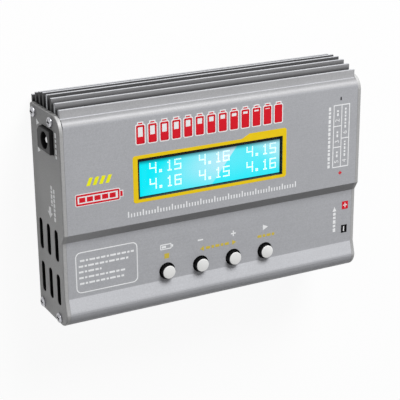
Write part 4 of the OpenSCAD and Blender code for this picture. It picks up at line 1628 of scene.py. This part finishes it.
@dataclass
class PlatePrint:
    """White marks on the left end plate, seen from outside. Sizes in millimetres."""

    mark_x: Point = (-33.2, -22.4)
    mark_half: float = 1.2
    mark_y: Point = (10.2, 13.0)
    rows: tuple[DashRow, ...] = (
        DashRow((-33.4, 29.4), 10.0, 1.4, (1.9, 1.2, 1.4), 0.6),
        DashRow((-11.0, 22.4), 8.0, 1.6, (1.5, 1.1, 1.8), 0.4),
        DashRow((-10.2, 24.9), 13.0, 1.6, (1.7, 1.2, 1.5), 0.4),
    )
    arrow: Shape = ((-1.9, 21.1), (0.2, 21.1), (0.2, 22.6), (2.6, 20.0), (0.2, 17.4), (0.2, 18.9),
                    (-1.9, 18.9))

    def build(self) -> None:
        """Prints small triangles and dashes beside the inlet and over the vents, and an arrow."""
        sheet = InkSheet("plate_print", Finishes.WHITE_INK, Face.LEFT_PLATE)
        low, high = self.mark_y
        for x in self.mark_x:
            sheet.panel([(x - self.mark_half, low), (x + self.mark_half, low), (x, high)])
        for row in self.rows:
            sheet.dashes(row)
        sheet.panel(self.arrow)
        sheet.print()


class FacePrint:
    """Printed marks of the raised face and the lower face."""

    GROUPS = (DisplayFrame, CellRow, ScaleMarks, SideMarks, SocketTable, InfoBox, KeyLegends, OutputSigns)

    def build(self) -> None:
        """Prints every group of marks."""
        for group in self.GROUPS:
            group().build()


@dataclass
class DisplayModule:
    """Clear window, its black mask and the dots of the lit panel. Sizes in millimetres."""

    pane_edge: float = 0.12
    mask_z: Point = (31.32, 31.48)
    mask_left: float = 1.25
    mask_top: float = 1.55
    mask_thin: float = 0.3
    glass_top: float = 30.3
    dot: float = 0.48
    dot_h: float = 0.04
    dot_pitch: Point = (0.62, 0.64)
    cell_pitch: float = 3.58
    text_x: float = -29.2
    line_y: Point = (12.0, 5.6)
    lines: tuple[str, str] = ("4.15  4.16  4.15", "4.16  4.15  4.16")

    SEGMENTS = {".": "kl", "1": "hij", "4": "bcfg", "5": "acdfg", "6": "acdefg"}
    STROKES = {
        "a": ((0, 6), (4, 6)),
        "b": ((4, 3), (4, 6)),
        "c": ((4, 0), (4, 3)),
        "d": ((0, 0), (4, 0)),
        "e": ((0, 0), (0, 3)),
        "f": ((0, 3), (0, 6)),
        "g": ((0, 3), (4, 3)),
        "h": ((2, 0), (2, 6)),
        "i": ((1, 0), (3, 0)),
        "j": ((1, 5), (1, 5)),
        "k": ((1, 0), (2, 0)),
        "l": ((1, 1), (2, 1)),
    }

    def build(self) -> None:
        """Makes the pane, the mask and the dots."""
        Softened("window_pane", "display_lens", Finishes.PANE, "clear_window", self.pane_edge).build()
        self.mask()
        self.dots()

    def mask(self) -> None:
        """Black mask behind the pane, wider at its left and top."""
        low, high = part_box("display_lens")
        x0, y0, x1, y1 = low.x / MM, low.y / MM, high.x / MM, high.y / MM
        left, right = x0 + self.mask_left, x1 - self.mask_thin
        bottom, top = y0 + self.mask_thin, y1 - self.mask_top
        outer = [(x0, y0), (x1, y0), (x1, y1), (x0, y1)]
        inner = [(left, bottom), (right, bottom), (right, top), (left, top)]
        back, front = self.mask_z
        mesh = bmesh.new()
        rings = [[mesh.verts.new((x, y, back)) for x, y in ring] for ring in (outer, inner)]
        edges = [mesh.edges.new(pair) for ring in rings for pair in zip(ring, ring[1:] + ring[:1])]
        flat = bmesh.ops.bridge_loops(mesh, edges=edges)["faces"]
        Shop.thicken(mesh, flat, front - back)
        Shop.piece("window_mask", mesh, Finishes.BEZEL)

    def lit(self, sign: str) -> set[tuple[int, int]]:
        """Columns and rows of the dots that a sign lights, on a grid of five by seven.

        Args:
            sign: A digit, a point or a space.

        Returns:
            The lit places.
        """
        places = set()
        for name in self.SEGMENTS.get(sign, ""):
            (c0, r0), (c1, r1) = self.STROKES[name]
            places |= {(c, r) for c in range(c0, c1 + 1) for r in range(r0, r1 + 1)}
        return places

    def dots(self) -> None:
        """Square dots of both lines, on the panel's top face."""
        mesh = bmesh.new()
        half = self.dot / 2
        size = (self.dot, self.dot, self.dot_h)
        for text, y in zip(self.lines, self.line_y):
            for i, sign in enumerate(text):
                for column, row in sorted(self.lit(sign)):
                    spot = (self.text_x + i * self.cell_pitch + column * self.dot_pitch[0] + half,
                            y + row * self.dot_pitch[1] + half, self.glass_top + self.dot_h / 2)
                    bmesh.ops.create_cube(mesh, size=1.0, matrix=Matrix.LocRotScale(spot, None, size))
        Shop.piece("lit_characters", mesh, Finishes.DOT)


@dataclass
class PowerInlet:
    """Barrel inlet on the left plate. Sizes in millimetres."""

    edge: float = 0.3
    pin_edge: float = 0.4

    def build(self) -> None:
        """Makes the housing and its centre pin."""
        Softened("inlet_housing", "dc_jack_body", Finishes.BLACK, "black_plastic", self.edge).build()
        Softened("inlet_pin", "dc_jack_pin", Finishes.PIN, "contact_tin", self.pin_edge).build()


@dataclass
class Outputs:
    """Banana outputs and balance sockets on the right plate. Sizes in millimetres."""

    flange_edge: float = 0.45
    sleeve_edge: float = 0.2
    socket_edge: float = 0.14
    cells: tuple[int, ...] = (2, 3, 4, 5, 6)

    def build(self) -> None:
        """Makes the outputs, their sleeves and the sockets."""
        self.output("positive", Finishes.RED, "socket_red")
        self.output("negative", Finishes.BLACK, "black_plastic")
        for count in self.cells:
            Softened(f"balance_port_{count}", f"balance_socket_{count}", Finishes.NYLON, "socket_white",
                     self.socket_edge).build()

    def output(self, sign: str, finish: Finish, slot: str) -> None:
        """Makes one banana output with its sleeve."""
        Softened(f"{sign}_terminal", f"{sign}_socket", finish, slot, self.flange_edge).build()
        Softened(f"{sign}_contact", f"{sign}_sleeve", Finishes.GOLD, "contact_gold", self.sleeve_edge).build()


class InnerPieces:
    """Finishes of the pieces that keep their own shape inside the case."""

    FINISH_OF = {
        Finishes.BEZEL: ("lcd_bezel",),
        Finishes.PANEL: ("lcd_glass",),
        Finishes.GUIDE: ("lcd_backlight",),
        Finishes.BOARD: ("lcd_board", "main_board", "socket_board"),
        Finishes.BRASS: ("lcd_spacers", "board_standoffs"),
        Finishes.SCREW: ("lcd_screws", "board_screws", "clamp_screws"),
        Finishes.BLACK: ("lcd_header", "key_switches", "controller_chip", "driver_chips", "buzzer",
                         "power_transistors"),
        Finishes.GOLD: ("lcd_header_pins",),
        Finishes.PLUNGER: ("key_plunger_1", "key_plunger_2", "key_plunger_3", "key_plunger_4"),
        Finishes.STEEL: ("key_domes", "transistor_clamp"),
        Finishes.CHROME: ("balance_pins", "output_nuts"),
        Finishes.SILICONE: ("insulating_pad",),
        Finishes.SLEEVE: ("bulk_capacitors",),
        Finishes.FERRITE: ("power_inductors",),
        Finishes.ORANGE: ("fuse",),
    }

    def build(self) -> None:
        """Gives each piece its finish."""
        for finish, nodes in self.FINISH_OF.items():
            for name in nodes:
                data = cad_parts[name].data
                data.materials.clear()
                data.materials.append(finish.material())
                LOG.info("finish %s on %s", finish.name, name)


@dataclass
class Lamp:
    """A square soft light, in metres and watts."""

    name: str
    spot: Spot
    size: float
    power: float

    def build(self) -> None:
        """Makes the light and turns it to the charger."""
        data = bpy.data.lights.new(self.name, "AREA")
        data.shape = "SQUARE"
        data.size = self.size
        data.energy = self.power
        lamp = bpy.data.objects.new(self.name, data)
        lamp.location = self.spot
        lamp.rotation_mode = "QUATERNION"
        lamp.rotation_quaternion = Vector(self.spot).to_track_quat("Z", "Y")
        bpy.context.scene.collection.objects.link(lamp)


@dataclass
class Studio:
    """Camera, floor, lights and backdrop, in metres."""

    camera_spot: Spot = (-0.2200, 0.1580, 0.4354)
    camera_right: Spot = (0.8839, -0.0092, 0.4675)
    camera_up: Spot = (0.1624, 0.9437, -0.2884)
    camera_view: Spot = (0.4385, -0.3308, -0.8356)
    lens_mm: float = 110.27
    sensor_mm: float = 36.0
    nearest: float = 0.01
    floor_size: float = 12.0
    floor_tone: Rgb = (244, 244, 244)
    floor_glow: float = 0.93
    ambient: float = 0.2
    backdrop: float = 1.0
    lamps: tuple[Lamp, ...] = (
        Lamp("key_light", (0.3, 1.06, 0.69), 0.6, 22.5),
        Lamp("left_light", (-0.5, -0.3, 0.05), 0.3, 0.14),
    )

    def build(self) -> None:
        """Sets the stage."""
        self.camera()
        self.floor()
        self.world()
        for lamp in self.lamps:
            lamp.build()
        bpy.context.scene.view_settings.view_transform = "Standard"

    def camera(self) -> None:
        """Camera at the photograph's angle."""
        data = bpy.data.cameras.new("camera")
        data.lens = self.lens_mm
        data.sensor_width = self.sensor_mm
        data.clip_start = self.nearest
        axes = (Vector(self.camera_right), Vector(self.camera_up), -Vector(self.camera_view))
        turned = Matrix([axis.normalized() for axis in axes]).transposed().to_4x4()
        made = bpy.data.objects.new("camera", data)
        made.matrix_world = Matrix.Translation(self.camera_spot) @ turned
        bpy.context.scene.collection.objects.link(made)
        bpy.context.scene.camera = made

    def floor(self) -> None:
        """Pale floor that shows white and keeps a faint shadow."""
        mesh = bmesh.new()
        bmesh.ops.create_grid(mesh, x_segments=1, y_segments=1, size=self.floor_size / 2)
        data = bpy.data.meshes.new("floor")
        mesh.to_mesh(data)
        mesh.free()
        graph = Graph(bpy.data.materials.new("pale_floor"))
        matt = graph.node("ShaderNodeBsdfDiffuse", None, {"Color": linear(self.floor_tone)})[0]
        white = graph.node("ShaderNodeEmission", None, {"Color": linear(WHITE), "Strength": self.backdrop})[0]
        graph.mixed(graph.shown() * self.floor_glow, matt, white)
        data.materials.append(graph.owner)
        made = bpy.data.objects.new("floor", data)
        bpy.context.scene.collection.objects.link(made)

    def world(self) -> None:
        """Even soft light, with white behind the charger."""
        world = bpy.data.worlds.new("studio")
        bpy.context.scene.world = world
        graph = Graph(world)
        light, back = (
            graph.node("ShaderNodeBackground", None, {"Color": linear(WHITE), "Strength": strength})[0]
            for strength in (self.ambient, self.backdrop))
        graph.mixed(graph.shown(), light, back)


def main() -> None:
    """Builds the stage and every sub-assembly."""
    logging.basicConfig(level=logging.INFO, format="%(message)s")
    Studio().build()
    CaseBody().build()
    for end in End:
        PanScrews(end).build()
    DisplayModule().build()
    KeyRow().build()
    PowerInlet().build()
    Outputs().build()
    InnerPieces().build()
    FacePrint().build()
    PlatePrint().build()


if __name__ == "__main__":
    main()
